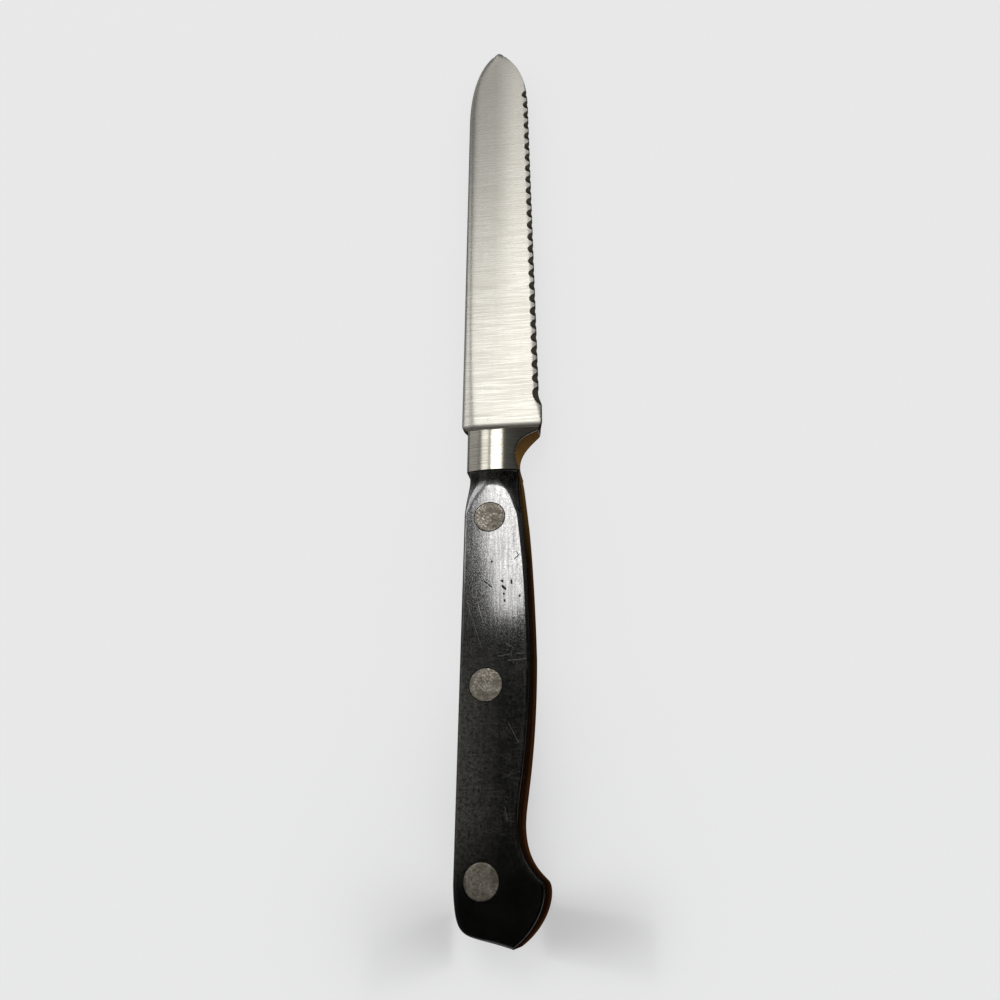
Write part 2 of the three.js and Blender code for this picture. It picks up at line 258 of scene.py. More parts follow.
def across_at(chain, station):
    """How far across a chain of curves lies at a station. Each curve runs one way along the knife."""
    for curve in chain:
        first = curve[0][1]
        last = curve[-1][1]
        if min(first, last) - 1e-9 <= station <= max(first, last) + 1e-9:
            low = 0.0
            high = 1.0
            for _ in range(40):
                middle = (low + high) / 2
                if (bezier(curve, middle)[1] < station) == (first < last):
                    low = middle
                else:
                    high = middle
            return bezier(curve, low)[0]
    raise ValueError(f"no curve of the outline reaches station {station:.5f}")


def spaced(first, last, steps):
    """Stations from first up to, but without, last."""
    return [lerp(first, last, i / steps) for i in range(steps)]


def to_row(point, sizes):
    """Moves a point from the knife's own frame, spine and heel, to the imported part's frame."""
    tip = sizes.blade.length - 0.002 * sizes.blade.point_length
    return Vector((
        point[0] + CAD_LOW.x,
        point[1] + CAD_HIGH.y - tip,
        point[2] + (CAD_LOW.z + CAD_HIGH.z) / 2,
    ))


def from_grip(u, v, z, sizes, turn=None):
    """A point given across and along the rivet line, in the knife's own frame."""
    angle = sizes.grip.droop if turn is None else turn
    x = sizes.grip.axis + u * math.cos(angle) + v * math.sin(angle)
    y = v * math.cos(angle) - u * math.sin(angle)
    return (x, y, z)


def loft(name, rings, sizes, zones=None):
    """A closed mesh through rings of equal count, with a material zone for each stretch of rings."""
    count = len(rings[0])
    points = [to_row(p, sizes) for ring in rings for p in ring]
    faces = []
    slots = []
    for r in range(len(rings) - 1):
        for i in range(count):
            j = (i + 1) % count
            faces.append((r * count + i, r * count + j, (r + 1) * count + j, (r + 1) * count + i))
            slots.append(zones[r] if zones else 0)
    last = (len(rings) - 1) * count
    faces.append(tuple(range(count)))
    faces.append(tuple(last + i for i in reversed(range(count))))
    slots += [slots[0], slots[-1]]
    mesh = bpy.data.meshes.new(name)
    mesh.from_pydata(points, [], faces, shade_flat=False)
    mesh.polygons.foreach_set("material_index", slots)
    work = bmesh.new()
    work.from_mesh(mesh)
    bmesh.ops.remove_doubles(work, verts=work.verts, dist=MERGE_DISTANCE)
    bmesh.ops.dissolve_degenerate(work, edges=work.edges, dist=MERGE_DISTANCE)
    bmesh.ops.recalc_face_normals(work, faces=work.faces)
    work.to_mesh(mesh)
    work.free()
    mesh.set_sharp_from_angle(angle=SHARP_ANGLE)
    return mesh


CORNER_ANGLES = [math.radians(a) for a in (0, 15, 30, 45, 60, 75, 90)]


def columns(width, left_round, right_round, steps, band=0.0):
    """Distances across a section with how far each lies up a rounded corner, from left to right.

    With a band along the right side, columns lie close to both sides of the crease where it starts.
    """
    left = min(left_round, 0.4 * width)
    right = min(right_round, 0.4 * width)
    near = [(left * (1 - math.cos(a)), left * (1 - math.sin(a))) for a in CORNER_ANGLES]
    far = [(width - right * (1 - math.cos(a)), right * (1 - math.sin(a))) for a in CORNER_ANGLES]
    middle = [lerp(left, width - right, i / steps) for i in range(1, steps)]
    if band:
        crease = 0.1 * band
        main = steps - 4
        middle = [lerp(left, width - band - crease, i / main) for i in range(1, main + 1)]
        middle += [width - lerp(band - crease, right, i / 3) for i in range(3)]
    return near + [(distance, 0.0) for distance in middle] + far[::-1]


def outline_lines(*chains):
    """Short lines along chains of curves, as starts and ways, for distances to an outline."""
    starts = []
    ways = []
    steps = 160
    for chain in chains:
        for curve in chain:
            points = np.array([bezier(curve, i / steps) for i in range(steps + 1)])
            starts.append(points[:-1])
            ways.append(points[1:] - points[:-1])
    return np.concatenate(starts), np.concatenate(ways)


def edge_fall(outline, across, along, radius, reach):
    """How far a rounded edge falls at a point, by its distance from the outline, which is at most reach."""
    starts, ways = outline
    place = np.array((across, along)) - starts
    part = np.clip((place * ways).sum(axis=1) / (ways ** 2).sum(axis=1), 0, 1)
    away = min(reach, np.hypot(*(place - ways * part[:, None]).T).min())
    depth = min(radius, max(0.0, radius - away))
    return radius - math.sqrt(radius ** 2 - depth ** 2)


# The shape of the forging, in the knife's own frame

def spine_chain(blade):
    start = blade.length - blade.point_length
    reach = blade.point_length
    return [
        [(0, -blade.length), (0, start)],
        [
            (0, start),
            (0, start + 0.43 * reach),
            (0.25 * blade.tip_height, blade.length - 0.14 * reach),
            (blade.tip_height, blade.length),
        ],
    ]


def point_chain(blade):
    start = blade.length - blade.point_length
    reach = blade.point_length
    low = blade.height - blade.taper
    return [[
        (low, start),
        (0.99 * low, start + 0.36 * reach),
        (0.985 * low, blade.length - 0.28 * reach),
        (blade.tip_height, blade.length),
    ]]


def tip_circle(blade):
    """The circle that rounds the tip: it touches the spine and the edge."""
    tip = Vector((blade.tip_height, blade.length))
    back = (Vector(spine_chain(blade)[-1][-2]) - tip).normalized()
    front = (Vector(point_chain(blade)[-1][-2]) - tip).normalized()
    half = back.angle(front) / 2
    return tip + (back + front).normalized() * blade.tip_radius / math.sin(half)


def blade_sides(blade, y):
    """Where the spine and the plain edge lie at a station from the heel."""
    start = blade.length - blade.point_length
    spine = across_at(spine_chain(blade), y)
    if y > start:
        edge = across_at(point_chain(blade), y)
    else:
        tapered = blade.height - blade.taper * y / start
        edge = lerp(blade.heel_height, tapered, ease(y, 0.7 * blade.plain_heel, 1.1 * blade.plain_heel))
    centre = tip_circle(blade)
    if y > centre.y:
        reach = math.sqrt(max(0.0, blade.tip_radius ** 2 - (y - centre.y) ** 2))
        spine = max(spine, centre.x - reach)
        edge = min(edge, centre.x + reach)
    return spine, edge


SPINE_FALL = 0.22
HEEL_BAND_RUN = 22 * MM
BEVEL_FADE = 4 * MM


def flank_height(blade, x, y, spine, edge):
    """Half thickness of the wedge, with its softened spine."""
    half = lerp(blade.spine_thickness, blade.tip_thickness, min(1.0, max(0.0, y / blade.length))) / 2
    thin = min(blade.edge_thickness / 2, half)
    widened = blade.spine_band + blade.heel_band * math.exp(-max(0.0, y) / HEEL_BAND_RUN)
    band = min(widened, 0.3 * (edge - spine))
    inset = x - spine
    if inset < band:
        fall = SPINE_FALL * min(1.0, band / blade.spine_band)
        return half * (1 - fall * (1 - inset / band) ** 2)
    return lerp(half, thin, min(1.0, (inset - band) / max(1e-6, edge - spine - band)))


def edge_bevel(blade, x, y, edge):
    """How deep the bevel along the edge cuts into the right flank. It ends in the plain point."""
    teeth_end = blade.length - blade.plain_point
    wide = blade.bevel * lerp(0.3, 1.0, min(1.0, max(0.0, y / (0.8 * blade.plain_heel))))
    wide *= 1 - ease(y, teeth_end - BEVEL_FADE, teeth_end + BEVEL_FADE)
    return blade.bevel_slope * max(0.0, wide - (edge - x))


def bolster_chains(sizes):
    """The bolster's outline behind the heel: its back, and its belly with the guard and the notch."""
    blade = sizes.blade
    bolster = sizes.bolster
    back = sizes.grip.axis - sizes.grip.back - bolster.back_proud
    belly = sizes.grip.axis + sizes.grip.neck_belly
    notch = belly - bolster.notch
    rear = -bolster.length
    step = bolster.spine_step
    guard = bolster.guard_length
    corner = bolster.guard_corner
    heel = blade.heel_height
    guard_tip = heel - 0.55 * corner
    back_side = [
        [(0, 0.5 * MM), (0, -0.6 * step), (back, -0.5 * step), (back, -2 * step)],
        [(back, -2 * step), (back, 2 * rear)],
    ]
    belly_side = [
        [(heel, 0.5 * MM), (guard_tip, corner - guard)],
        [(guard_tip, corner - guard), (guard_tip, corner / 4 - guard), (heel - corner, -guard)],
        [
            (heel - corner, -guard),
            (notch + 0.42 * (heel - notch), -1.45 * guard),
            (notch, 0.47 * rear),
            (notch, 0.72 * rear),
        ],
        [
            (notch, 0.72 * rear),
            (notch, 0.8 * rear),
            (belly - 0.6 * bolster.notch, 0.87 * rear),
            (belly, rear),
        ],
        [(belly, rear), (belly, 2 * rear)],
    ]
    return back_side, belly_side


def forging_height(sizes, x, y, spine, edge):
    """Height of the upper face of the blade and the bolster over the middle plane."""
    bolster = sizes.bolster
    angle = sizes.grip.droop
    u = (x - sizes.grip.axis) * math.cos(angle) - y * math.sin(angle)
    half = bolster.thickness / 2
    crown = half - u * u / (2 * bolster.crown_radius)
    rim = sizes.blade.spine_thickness / 2
    slope = rim - (y + bolster.setback) * (half - rim) / bolster.slope
    rise = max(0.0, bolster.fillet_start - y) ** 2 / (2 * bolster.fillet)
    flank = flank_height(sizes.blade, x, y, spine, edge) + rise
    return soft_min(crown, soft_max(flank, slope, bolster.crease), bolster.crest)


def forging_ring(sizes, y, outline):
    """A section through the blade or the bolster. Behind the heel it turns with the grip."""
    blade = sizes.blade
    behind = ease(-y, 0, 2 * sizes.bolster.slope)
    turn = sizes.grip.droop * min(1.0, max(0.0, -y / sizes.bolster.length))
    spine, edge = blade_sides(blade, max(0.0, y))
    left, right = spine, edge
    if y < 0.5 * MM:
        left, right = (across_at(chain, y) for chain in bolster_chains(sizes))
    left_round = lerp(0.12 * MM, sizes.bolster.corner, behind)
    right_round = lerp(0.02 * MM, 1.5 * sizes.bolster.corner, behind)
    upper = []
    lower = []
    band = min(blade.bevel, 0.3 * (right - left))
    for distance, fall in columns(right - left, left_round, right_round, 26, band):
        x = left + distance
        height = forging_height(sizes, x, y, spine, edge)
        bevel = edge_bevel(blade, x, y, edge)
        if y < 0:
            reach = min(distance, right - left - distance)
            fall = lerp(fall, edge_fall(outline, x, y, sizes.bolster.corner, reach), behind)
        fall = min(fall, 0.8 * height)
        u = (x - sizes.grip.axis - y * math.sin(turn)) / math.cos(turn)
        upper.append(from_grip(u, y, height - fall - bevel, sizes, turn))
        lower.append(from_grip(u, y, fall - height, sizes, turn))
    return upper + lower[::-1]


# The grip's outline, in its own frame: across the rivet line and behind the joint

def back_chain(grip):
    length = grip.length
    back = -grip.back
    low = grip.butt_low
    taper = grip.back_taper
    corner_at = length - grip.butt_corner
    return [
        [(back, 0), (grip.neck_dip + back, 0.31 * grip.neck_length),
         (back, 0.58 * grip.neck_length), (back, grip.neck_length)],
        [(back, grip.neck_length), (back + taper, corner_at)],
        [(back + taper, corner_at), (back + 4 * taper, length - 0.02 * grip.butt_corner),
         (lerp(low, back, 0.8), length - 0.26 * grip.butt_corner), (low, length)],
    ]


def belly_chain(grip):
    neck = grip.neck_belly
    swell = grip.swell_belly
    waist = grip.waist_belly
    beak = grip.beak_belly
    corner = grip.beak_corner
    length = grip.length
    swell_at = grip.swell_at
    waist_at = length - grip.waist_from_butt
    beak_at = length - grip.beak_from_butt
    swell_run = waist_at - swell_at
    beak_run = beak_at - waist_at
    return [
        [(neck, 0), (lerp(neck, swell, 0.26), 0.07 * swell_at),
         (lerp(neck, swell, 0.8), 0.465 * swell_at), (swell, swell_at)],
        [(swell, swell_at), (swell, swell_at + 0.62 * swell_run),
         (waist, waist_at - 0.12 * swell_run), (waist, waist_at)],
        [(waist, waist_at), (waist, waist_at + 0.59 * beak_run),
         (lerp(waist, beak, 0.55), waist_at + 0.79 * beak_run), (beak - 0.75 * corner, beak_at - corner)],
        [(beak - 0.75 * corner, beak_at - corner), (beak, beak_at), (beak, beak_at + 2 * corner)],
        [(beak, beak_at + 2 * corner), (beak, length - 0.55 * grip.beak_from_butt),
         (lerp(grip.butt_low, beak, 0.53), length - 0.19 * grip.beak_from_butt), (grip.butt_low, length)],
    ]


def grip_stations(grip, first):
    """Stations behind the joint, close together at the neck, the beak and the butt."""
    beak_at = grip.length - grip.beak_from_butt
    waist_at = grip.length - grip.waist_from_butt
    stations = spaced(first, 1.6 * grip.neck_length, 36)
    stations += spaced(1.6 * grip.neck_length, waist_at, 30)
    stations += spaced(waist_at, beak_at - 1.5 * MM, 20)
    stations += spaced(beak_at - 1.5 * MM, beak_at + 1.5 * MM, 18)
    steps = 44
    rest = grip.length - 2e-6 - beak_at - 1.5 * MM
    for i in range(steps + 1):
        stations.append(beak_at + 1.5 * MM + rest * math.sin(math.pi / 2 * i / steps))
    return stations


def scale_ring(sizes, station, outline):
    """A section through the right scale: its face with rounded edges, and its flat inner side."""
    grip = sizes.grip
    left = across_at(back_chain(grip), station)
    right = across_at(belly_chain(grip), station)
    flank = grip.thickness / 2
    half = sizes.bolster.thickness / 2
    inner = grip.tang / 2 + grip.joint_gap
    v = -sizes.bolster.length - station
    rise = (flank - half + grip.neck_rise) * (1 - math.exp(-station / grip.neck_run))
    rise += flank * ease(station, 1.4 * grip.neck_run, 2.8 * grip.neck_run)
    steeper = 1 + grip.joint_step / (flank - half)
    shoulder = grip.shoulder * math.exp(-station / grip.shoulder_run) * ease(station, 0, grip.neck_run)
    belly_edge = grip.belly_edge + shoulder
    upper = []
    lower = []
    for distance, _ in columns(right - left, grip.edge, belly_edge, 34):
        u = left + distance
        neck = half + rise - u * u / (2 * sizes.bolster.crown_radius)
        flat = flank - grip.crown * (u / grip.beak_belly) ** 2
        height = soft_min(flat, flat - steeper * (flat - neck), 0.5 * MM)
        rounding = lerp(grip.edge, belly_edge, ease(u, -3 * MM, 3 * MM))
        height -= edge_fall(outline, u, station, rounding, min(distance, right - u))
        upper.append(from_grip(u, v, height, sizes))
        lower.append(from_grip(u, v, inner, sizes))
    return upper + lower[::-1]


def tang_ring(sizes, station):
    """A section through the tang."""
    grip = sizes.grip
    left = across_at(back_chain(grip), station)
    right = across_at(belly_chain(grip), station)
    v = -sizes.bolster.length - station
    upper = []
    lower = []
    for distance, fall in columns(right - left, 0.15 * MM, 0.15 * MM, 26):
        upper.append(from_grip(left + distance, v, grip.tang / 2 - fall, sizes))
        lower.append(from_grip(left + distance, v, fall - grip.tang / 2, sizes))
    return upper + lower[::-1]


def rivet_places(sizes):
    """Where the front rivet is, and the way from each rivet to the next."""
    v = -sizes.bolster.length - sizes.rivet.from_joint
    run = (sizes.grip.length - sizes.rivet.from_joint - sizes.rivet.from_butt) / 2
    return {
        "First Rivet": to_row(from_grip(0, v, 0, sizes), sizes),
        "Spacing": Vector(from_grip(0, -run, 0, sizes)) - Vector(from_grip(0, 0, 0, sizes)),
    }


# Node trees

def add(tree, kind, inputs=None, **settings):
    """Adds a node, applies its settings, and fills or links its inputs."""
    node = tree.nodes.new(kind)
    for name, value in settings.items():
        setattr(node, name, value)
    for key, value in (inputs or {}).items():
        if isinstance(value, bpy.types.NodeSocket):
            tree.links.new(value, node.inputs[key])
        else:
            node.inputs[key].default_value = value
    return node


def joined(tree, operation, values):
    """Several values joined by one operation, from the first to the last."""
    total = values[0]
    for value in values[1:]:
        total = add(tree, "ShaderNodeMath", {0: total, 1: value}, operation=operation).outputs[0]
    return total


def product(tree, values):
    return joined(tree, "MULTIPLY", values)


def largest(tree, values):
    return joined(tree, "MAXIMUM", values)


def vector(tree, operation, first, second, result="Vector"):
    """The result of a vector operation, whose second input is a vector, or a number to scale by."""
    key = "Scale" if operation == "SCALE" else 1
    node = add(tree, "ShaderNodeVectorMath", {0: first, key: second}, operation=operation)
    return node.outputs[result]


def object_place(tree):
    return add(tree, "ShaderNodeTexCoord").outputs["Object"]


def axes_of(tree, place):
    return add(tree, "ShaderNodeSeparateXYZ", {0: place}).outputs


def noise(tree, place, grain, detail, roughness):
    """Noise with marks of about this size."""
    inputs = {"Vector": place, "Scale": 1 / grain, "Detail": detail, "Roughness": roughness}
    return add(tree, "ShaderNodeTexNoise", inputs).outputs["Fac"]


def geometry_tree(name, inputs):
    """A new geometry tree with named inputs. Returns it with the sockets of its inputs."""
    tree = bpy.data.node_groups.new(name, "GeometryNodeTree")
    tree.interface.new_socket("Geometry", in_out="INPUT", socket_type="NodeSocketGeometry")
    for label, kind in inputs:
        tree.interface.new_socket(label, in_out="INPUT", socket_type=f"NodeSocket{kind}")
    tree.interface.new_socket("Geometry", in_out="OUTPUT", socket_type="NodeSocketGeometry")
    return tree, add(tree, "NodeGroupInput").outputs


def close_tree(tree, geometry, material, selection=None):
    """Ends a tree in plain geometry with its material."""
    plain = add(tree, "GeometryNodeRealizeInstances", {"Geometry": geometry})
    inputs = {"Geometry": plain.outputs[0], "Material": material}
    if selection is not None:
        inputs["Selection"] = selection
    finish = add(tree, "GeometryNodeSetMaterial", inputs)
    add(tree, "NodeGroupOutput", {"Geometry": finish.outputs[0]})


def run_tree(piece, tree, values):
    """Runs a tree on a piece and keeps the result as its plain mesh."""
    modifier = piece.modifiers.new(tree.name, "NODES")
    modifier.node_group = tree
    for item in tree.interface.items_tree:
        if item.in_out == "INPUT" and item.name in values:
            modifier[item.identifier] = values[item.name]
    piece.update_tag()
    bpy.context.view_layer.update()
    depsgraph = bpy.context.evaluated_depsgraph_get()
    mesh = bpy.data.meshes.new_from_object(piece.evaluated_get(depsgraph), depsgraph=depsgraph)
    piece.modifiers.remove(modifier)
    old = piece.data
    name = old.name
    piece.data = mesh
    bpy.data.meshes.remove(old)
    mesh.name = name
    if not mesh.polygons:
        raise RuntimeError(f"{tree.name} left {piece.name} without faces")


def cut(tree, base, cutters):
    """Cuts the cutters out of the base and keeps the cut's rim sharp."""
    boolean = add(tree, "GeometryNodeMeshBoolean", {"Mesh 1": base}, operation="DIFFERENCE", solver="EXACT")
    for cutter in cutters:
        tree.links.new(cutter, boolean.inputs["Mesh 2"])
    rim = {
        "Geometry": boolean.outputs["Mesh"],
        "Selection": boolean.outputs["Intersecting Edges"],
        "Shade Smooth": False,
    }
    return add(tree, "GeometryNodeSetShadeSmooth", rim, domain="EDGE").outputs[0]


def close_cut(tree, ask, cutters, finish):
    """Ends a tree in the piece cut by the cutters, with a finish on the faces that they leave."""
    chosen = add(tree, "GeometryNodeMaterialSelection", {"Material": ask[finish]})
    close_tree(tree, cut(tree, ask["Geometry"], cutters), ask[finish], chosen.outputs[0])


def rivet_points(tree, ask):
    """One point for each rivet."""
    return add(tree, "GeometryNodeMeshLine", {
        "Count": len(RIVET_NAMES), "Start Location": ask["First Rivet"], "Offset": ask["Spacing"],
    }).outputs[0]


def scallop_tree():
    """Grinds a row of scallops along the edge, and the run-out of the last one at the heel."""
    tree, ask = geometry_tree("scallop_grinding", [
        ("Edge Line", "Object"),
        ("Run-out Cutter", "Object"),
        ("Teeth", "Int"),
        ("Wheel Radius", "Float"),
        ("Wheel Width", "Float"),
        ("Wheel Tilt", "Vector"),
        ("Wheel Centre", "Vector"),
        ("Ground Finish", "Material"),
    ])
    wheel = add(tree, "GeometryNodeMeshCylinder", {
        "Vertices": WHEEL_SIDES, "Radius": ask["Wheel Radius"], "Depth": ask["Wheel Width"],
    })
    tilted = add(tree, "GeometryNodeTransform", {
        "Geometry": wheel.outputs["Mesh"], "Translation": ask["Wheel Centre"], "Rotation": ask["Wheel Tilt"],
    })
    line = add(tree, "GeometryNodeObjectInfo", {"Object": ask["Edge Line"]})
    row = add(tree, "GeometryNodeCurveToPoints", {
        "Curve": line.outputs["Geometry"], "Count": ask["Teeth"],
    }, mode="COUNT")
    facing = add(tree, "FunctionNodeAxesToRotation", {
        "Primary Axis": (0, 0, 1), "Secondary Axis": row.outputs["Tangent"],
    }, primary_axis="Z", secondary_axis="Y")
    wheels = add(tree, "GeometryNodeInstanceOnPoints", {
        "Points": row.outputs["Points"], "Instance": tilted.outputs[0], "Rotation": facing.outputs[0],
    })
    runout = add(tree, "GeometryNodeObjectInfo", {"Object": ask["Run-out Cutter"]})
    ground = []
    for cutter in (wheels.outputs[0], runout.outputs["Geometry"]):
        smooth = add(tree, "GeometryNodeSetShadeSmooth", {"Geometry": cutter, "Shade Smooth": True})
        finish = {"Geometry": smooth.outputs[0], "Material": ask["Ground Finish"]}
        ground.append(add(tree, "GeometryNodeSetMaterial", finish).outputs[0])
    close_cut(tree, ask, ground, "Ground Finish")
    return tree


def drill_tree():
    """Drills the row of rivet holes, each with a counterbore for the head."""
    tree, ask = geometry_tree("rivet_drilling", [
        ("First Rivet", "Vector"),
        ("Spacing", "Vector"),
        ("Shank Diameter", "Float"),
        ("Shank Depth", "Float"),
        ("Head Diameter", "Float"),
        ("Head Depth", "Float"),
        ("Head Centre", "Vector"),
        ("Hole Finish", "Material"),
    ])
    row = rivet_points(tree, ask)
    drills = []
    for part in ("Shank", "Head"):
        radius = add(tree, "ShaderNodeMath", {0: ask[f"{part} Diameter"], 1: 0.5}, operation="MULTIPLY")
        bit = add(tree, "GeometryNodeMeshCylinder", {
            "Vertices": DRILL_SIDES, "Radius": radius.outputs[0], "Depth": ask[f"{part} Depth"],
        }).outputs["Mesh"]
        if part == "Head":
            bit = add(tree, "GeometryNodeTransform", {
                "Geometry": bit, "Translation": ask["Head Centre"],
            }).outputs[0]
        finish = add(tree, "GeometryNodeSetMaterial", {"Geometry": bit, "Material": ask["Hole Finish"]})
        placed = {"Points": row, "Instance": finish.outputs[0]}
        drills.append(add(tree, "GeometryNodeInstanceOnPoints", placed).outputs[0])
    close_cut(tree, ask, drills, "Hole Finish")
    return tree


def rivet_tree():
    """Sets one turned rivet half in each hole, each with its own turn."""
    tree, ask = geometry_tree("rivet_row", [
        ("Rivet Half", "Object"),
        ("First Rivet", "Vector"),
        ("Spacing", "Vector"),
        ("Seed", "Int"),
        ("Rivet Finish", "Material"),
    ])
    half = add(tree, "GeometryNodeObjectInfo", {"Object": ask["Rivet Half"], "As Instance": True})
    turn = add(tree, "FunctionNodeRandomValue", {
        "Min": (0, 0, 0), "Max": (0, 0, 2 * math.pi), "Seed": ask["Seed"],
    }, data_type="FLOAT_VECTOR")
    placed = add(tree, "GeometryNodeInstanceOnPoints", {
        "Points": rivet_points(tree, ask), "Instance": half.outputs["Geometry"], "Rotation": turn.outputs[0],
    })
    close_tree(tree, placed.outputs[0], ask["Rivet Finish"])
    return tree


# Materials

def new_material(name):
    material = bpy.data.materials.new(name)
    material.use_nodes = True
    material.node_tree.nodes.clear()
    return material, material.node_tree


def stretched(tree, across, along, seed):
    """Noise whose marks are this wide across the knife and this long along it."""
    scale = (1 / across, 1 / along, 1 / max(across, along))
    mapping = {"Vector": object_place(tree), "Location": (seed, 0, 0), "Scale": scale}
    mapped = add(tree, "ShaderNodeMapping", mapping).outputs[0]
    return noise(tree, mapped, 1.0, 3.0, 0.6)


def ramp(tree, value, low, high, start, end):
    """A value mapped from one range to another, held at the ends."""
    inputs = {"Value": value, "From Min": low, "From Max": high, "To Min": start, "To Max": end}
    return add(tree, "ShaderNodeMapRange", inputs).outputs[0]


def blend(tree, factor, first, second):
    """A colour between two, by a factor."""
    mixed = add(tree, "ShaderNodeMix", {0: factor}, data_type="RGBA")
    for key, value in ((6, first), (7, second)):
        if isinstance(value, bpy.types.NodeSocket):
            tree.links.new(value, mixed.inputs[key])
        else:
            mixed.inputs[key].default_value = (*value, 1)
    return mixed.outputs[2]


def shade(tree, inputs):
    """The surface shader and the output."""
    surface = add(tree, "ShaderNodeBsdfPrincipled", inputs)
    add(tree, "ShaderNodeOutputMaterial", {"Surface": surface.outputs[0]})


def blade_painted_light(tree):
    """Painted light and shade in the blade's colour, standing in for the room's reflections: the spine side
    lighter at the heel and darker towards the point, the middle a little darker and the edge side lighter
    towards the point.
    """
    axes = axes_of(tree, object_place(tree))
    spine = ramp(tree, axes["Y"], 10 * MM, 80 * MM, 1.2, 0.52)
    middle = ramp(tree, axes["Y"], 20 * MM, 85 * MM, 0.98, 0.82)
    edge = ramp(tree, axes["Y"], 5 * MM, 45 * MM, 1.0, 1.2)
    return product(tree, [
        ramp(tree, axes["X"], CAD_LOW.x, CAD_LOW.x + 2.8 * MM, spine, 1.0),
        ramp(tree, axes["X"], -2 * MM, 3 * MM, middle, edge),
    ])


def ground_steel(name, light, dark, stain, line, roughness, stretch, with_painted_light=False):
    """Steel with lines across the knife, as a belt leaves them, and fainter streaks along it."""
    material, tree = new_material(name)
    lines = stretched(tree, 9 * MM, line, 0)
    streaks = stretched(tree, 0.8 * MM, 30 * MM, 3.7)
    clouds = stretched(tree, 7 * MM, 16 * MM, 8.1)
    mixed = blend(tree, ramp(tree, lines, 0.32, 0.68, 0.0, 1.0), dark, light)
    mixed = blend(tree, ramp(tree, streaks, 0.35, 0.62, 0.3, 0.0), mixed, dark)
    mixed = blend(tree, ramp(tree, clouds, 0.45, 0.7, 0.0, 0.4), mixed, dark)
    # Stains are small dots of up to 0.3 mm, one here and there.
    cells = add(tree, "ShaderNodeTexVoronoi", {"Vector": object_place(tree), "Scale": 1 / (2.2 * MM)})
    dots = ramp(tree, cells.outputs["Distance"], 0.06, 0.12, 1.0, 0.0)
    rare = ramp(tree, cells.outputs["Color"], 0.72, 0.75, 0.0, 0.6)
    mixed = blend(tree, product(tree, (dots, rare)), mixed, stain)
    # With painted light, the colour is scaled by a map of painted light and shade along the blade.
    if with_painted_light:
        mixed = vector(tree, "SCALE", mixed, blade_painted_light(tree))
    bump = add(tree, "ShaderNodeBump", {"Strength": 0.04, "Distance": 0.03 * MM, "Height": lines})
    along = add(tree, "ShaderNodeCombineXYZ", {0: 0.0, 1: 1.0, 2: 0.0})
    shade(tree, {
        "Base Color": mixed,
        "Metallic": 1.0,
        "Roughness": ramp(tree, lines, 0.3, 0.7, roughness * 1.12, roughness * 0.9),
        "Anisotropic": stretch,
        "Tangent": along.outputs[0],
        "Normal": bump.outputs[0],
    })
    return material


def steel_finishes(colours):
    """The four finishes of the one forging."""
    return {
        # Stainless blade steel, satin ground across: a broad soft sheen drawn out along the blade, with
        # painted light and shade in its colour.
        "blade": ground_steel(
            "stainless_satin_ground", colours.steel_light, colours.steel_dark, colours.speck,
            0.3 * MM, 0.28, 0.9, with_painted_light=True,
        ),
        # The bolster is belt polished: crisp bands of light across it, blurred along it.
        "bolster": ground_steel(
            "stainless_belt_polished", colours.polish_light, colours.polish_dark, colours.polish_dark,
            0.25 * MM, 0.22, 0.93,
        ),
        # The tang's steel edge, between the scales, carries painted shade: dull, dark and brownish.
        "tang": ground_steel(
            "stainless_stained_edge", colours.tang_painted_shade, colours.tang_painted_deep_shade, colours.tang_painted_deep_shade,
            0.6 * MM, 0.22, 0.3,
        ),
        # Scallops come straight from the wheel: brighter lines, a little glossier than the flank.
        "scallop": ground_steel(
            "stainless_hollow_ground", colours.hollow_light, colours.hollow_dark, colours.hollow_dark,
            0.35 * MM, 0.3, 0.5,
        ),
    }


def mark_group():
    """A shader group that draws one worn mark, a line from start to end with soft sides."""
    tree = bpy.data.node_groups.new("worn_mark", "ShaderNodeTree")
    for label, kind in (("Point", "Vector"), ("Start", "Vector"), ("End", "Vector"), ("Width", "Float")):
        tree.interface.new_socket(label, in_out="INPUT", socket_type=f"NodeSocket{kind}")
    tree.interface.new_socket("Mask", in_out="OUTPUT", socket_type="NodeSocketFloat")
    ask = add(tree, "NodeGroupInput").outputs
    near = vector(tree, "SUBTRACT", ask["Point"], ask["Start"])
    run = vector(tree, "SUBTRACT", ask["End"], ask["Start"])
    along = vector(tree, "DOT_PRODUCT", near, run, "Value")
    whole = vector(tree, "DOT_PRODUCT", run, run, "Value")
    part = add(tree, "ShaderNodeMath", {0: along, 1: whole}, operation="DIVIDE", use_clamp=True)
    foot = vector(tree, "SCALE", run, part.outputs[0])
    off = vector(tree, "DISTANCE", near, foot, "Value")
    mask = ramp(tree, joined(tree, "DIVIDE", (off, ask["Width"])), 0.25, 0.75, 1.0, 0.0)
    add(tree, "NodeGroupOutput", {"Mask": mask})
    return tree


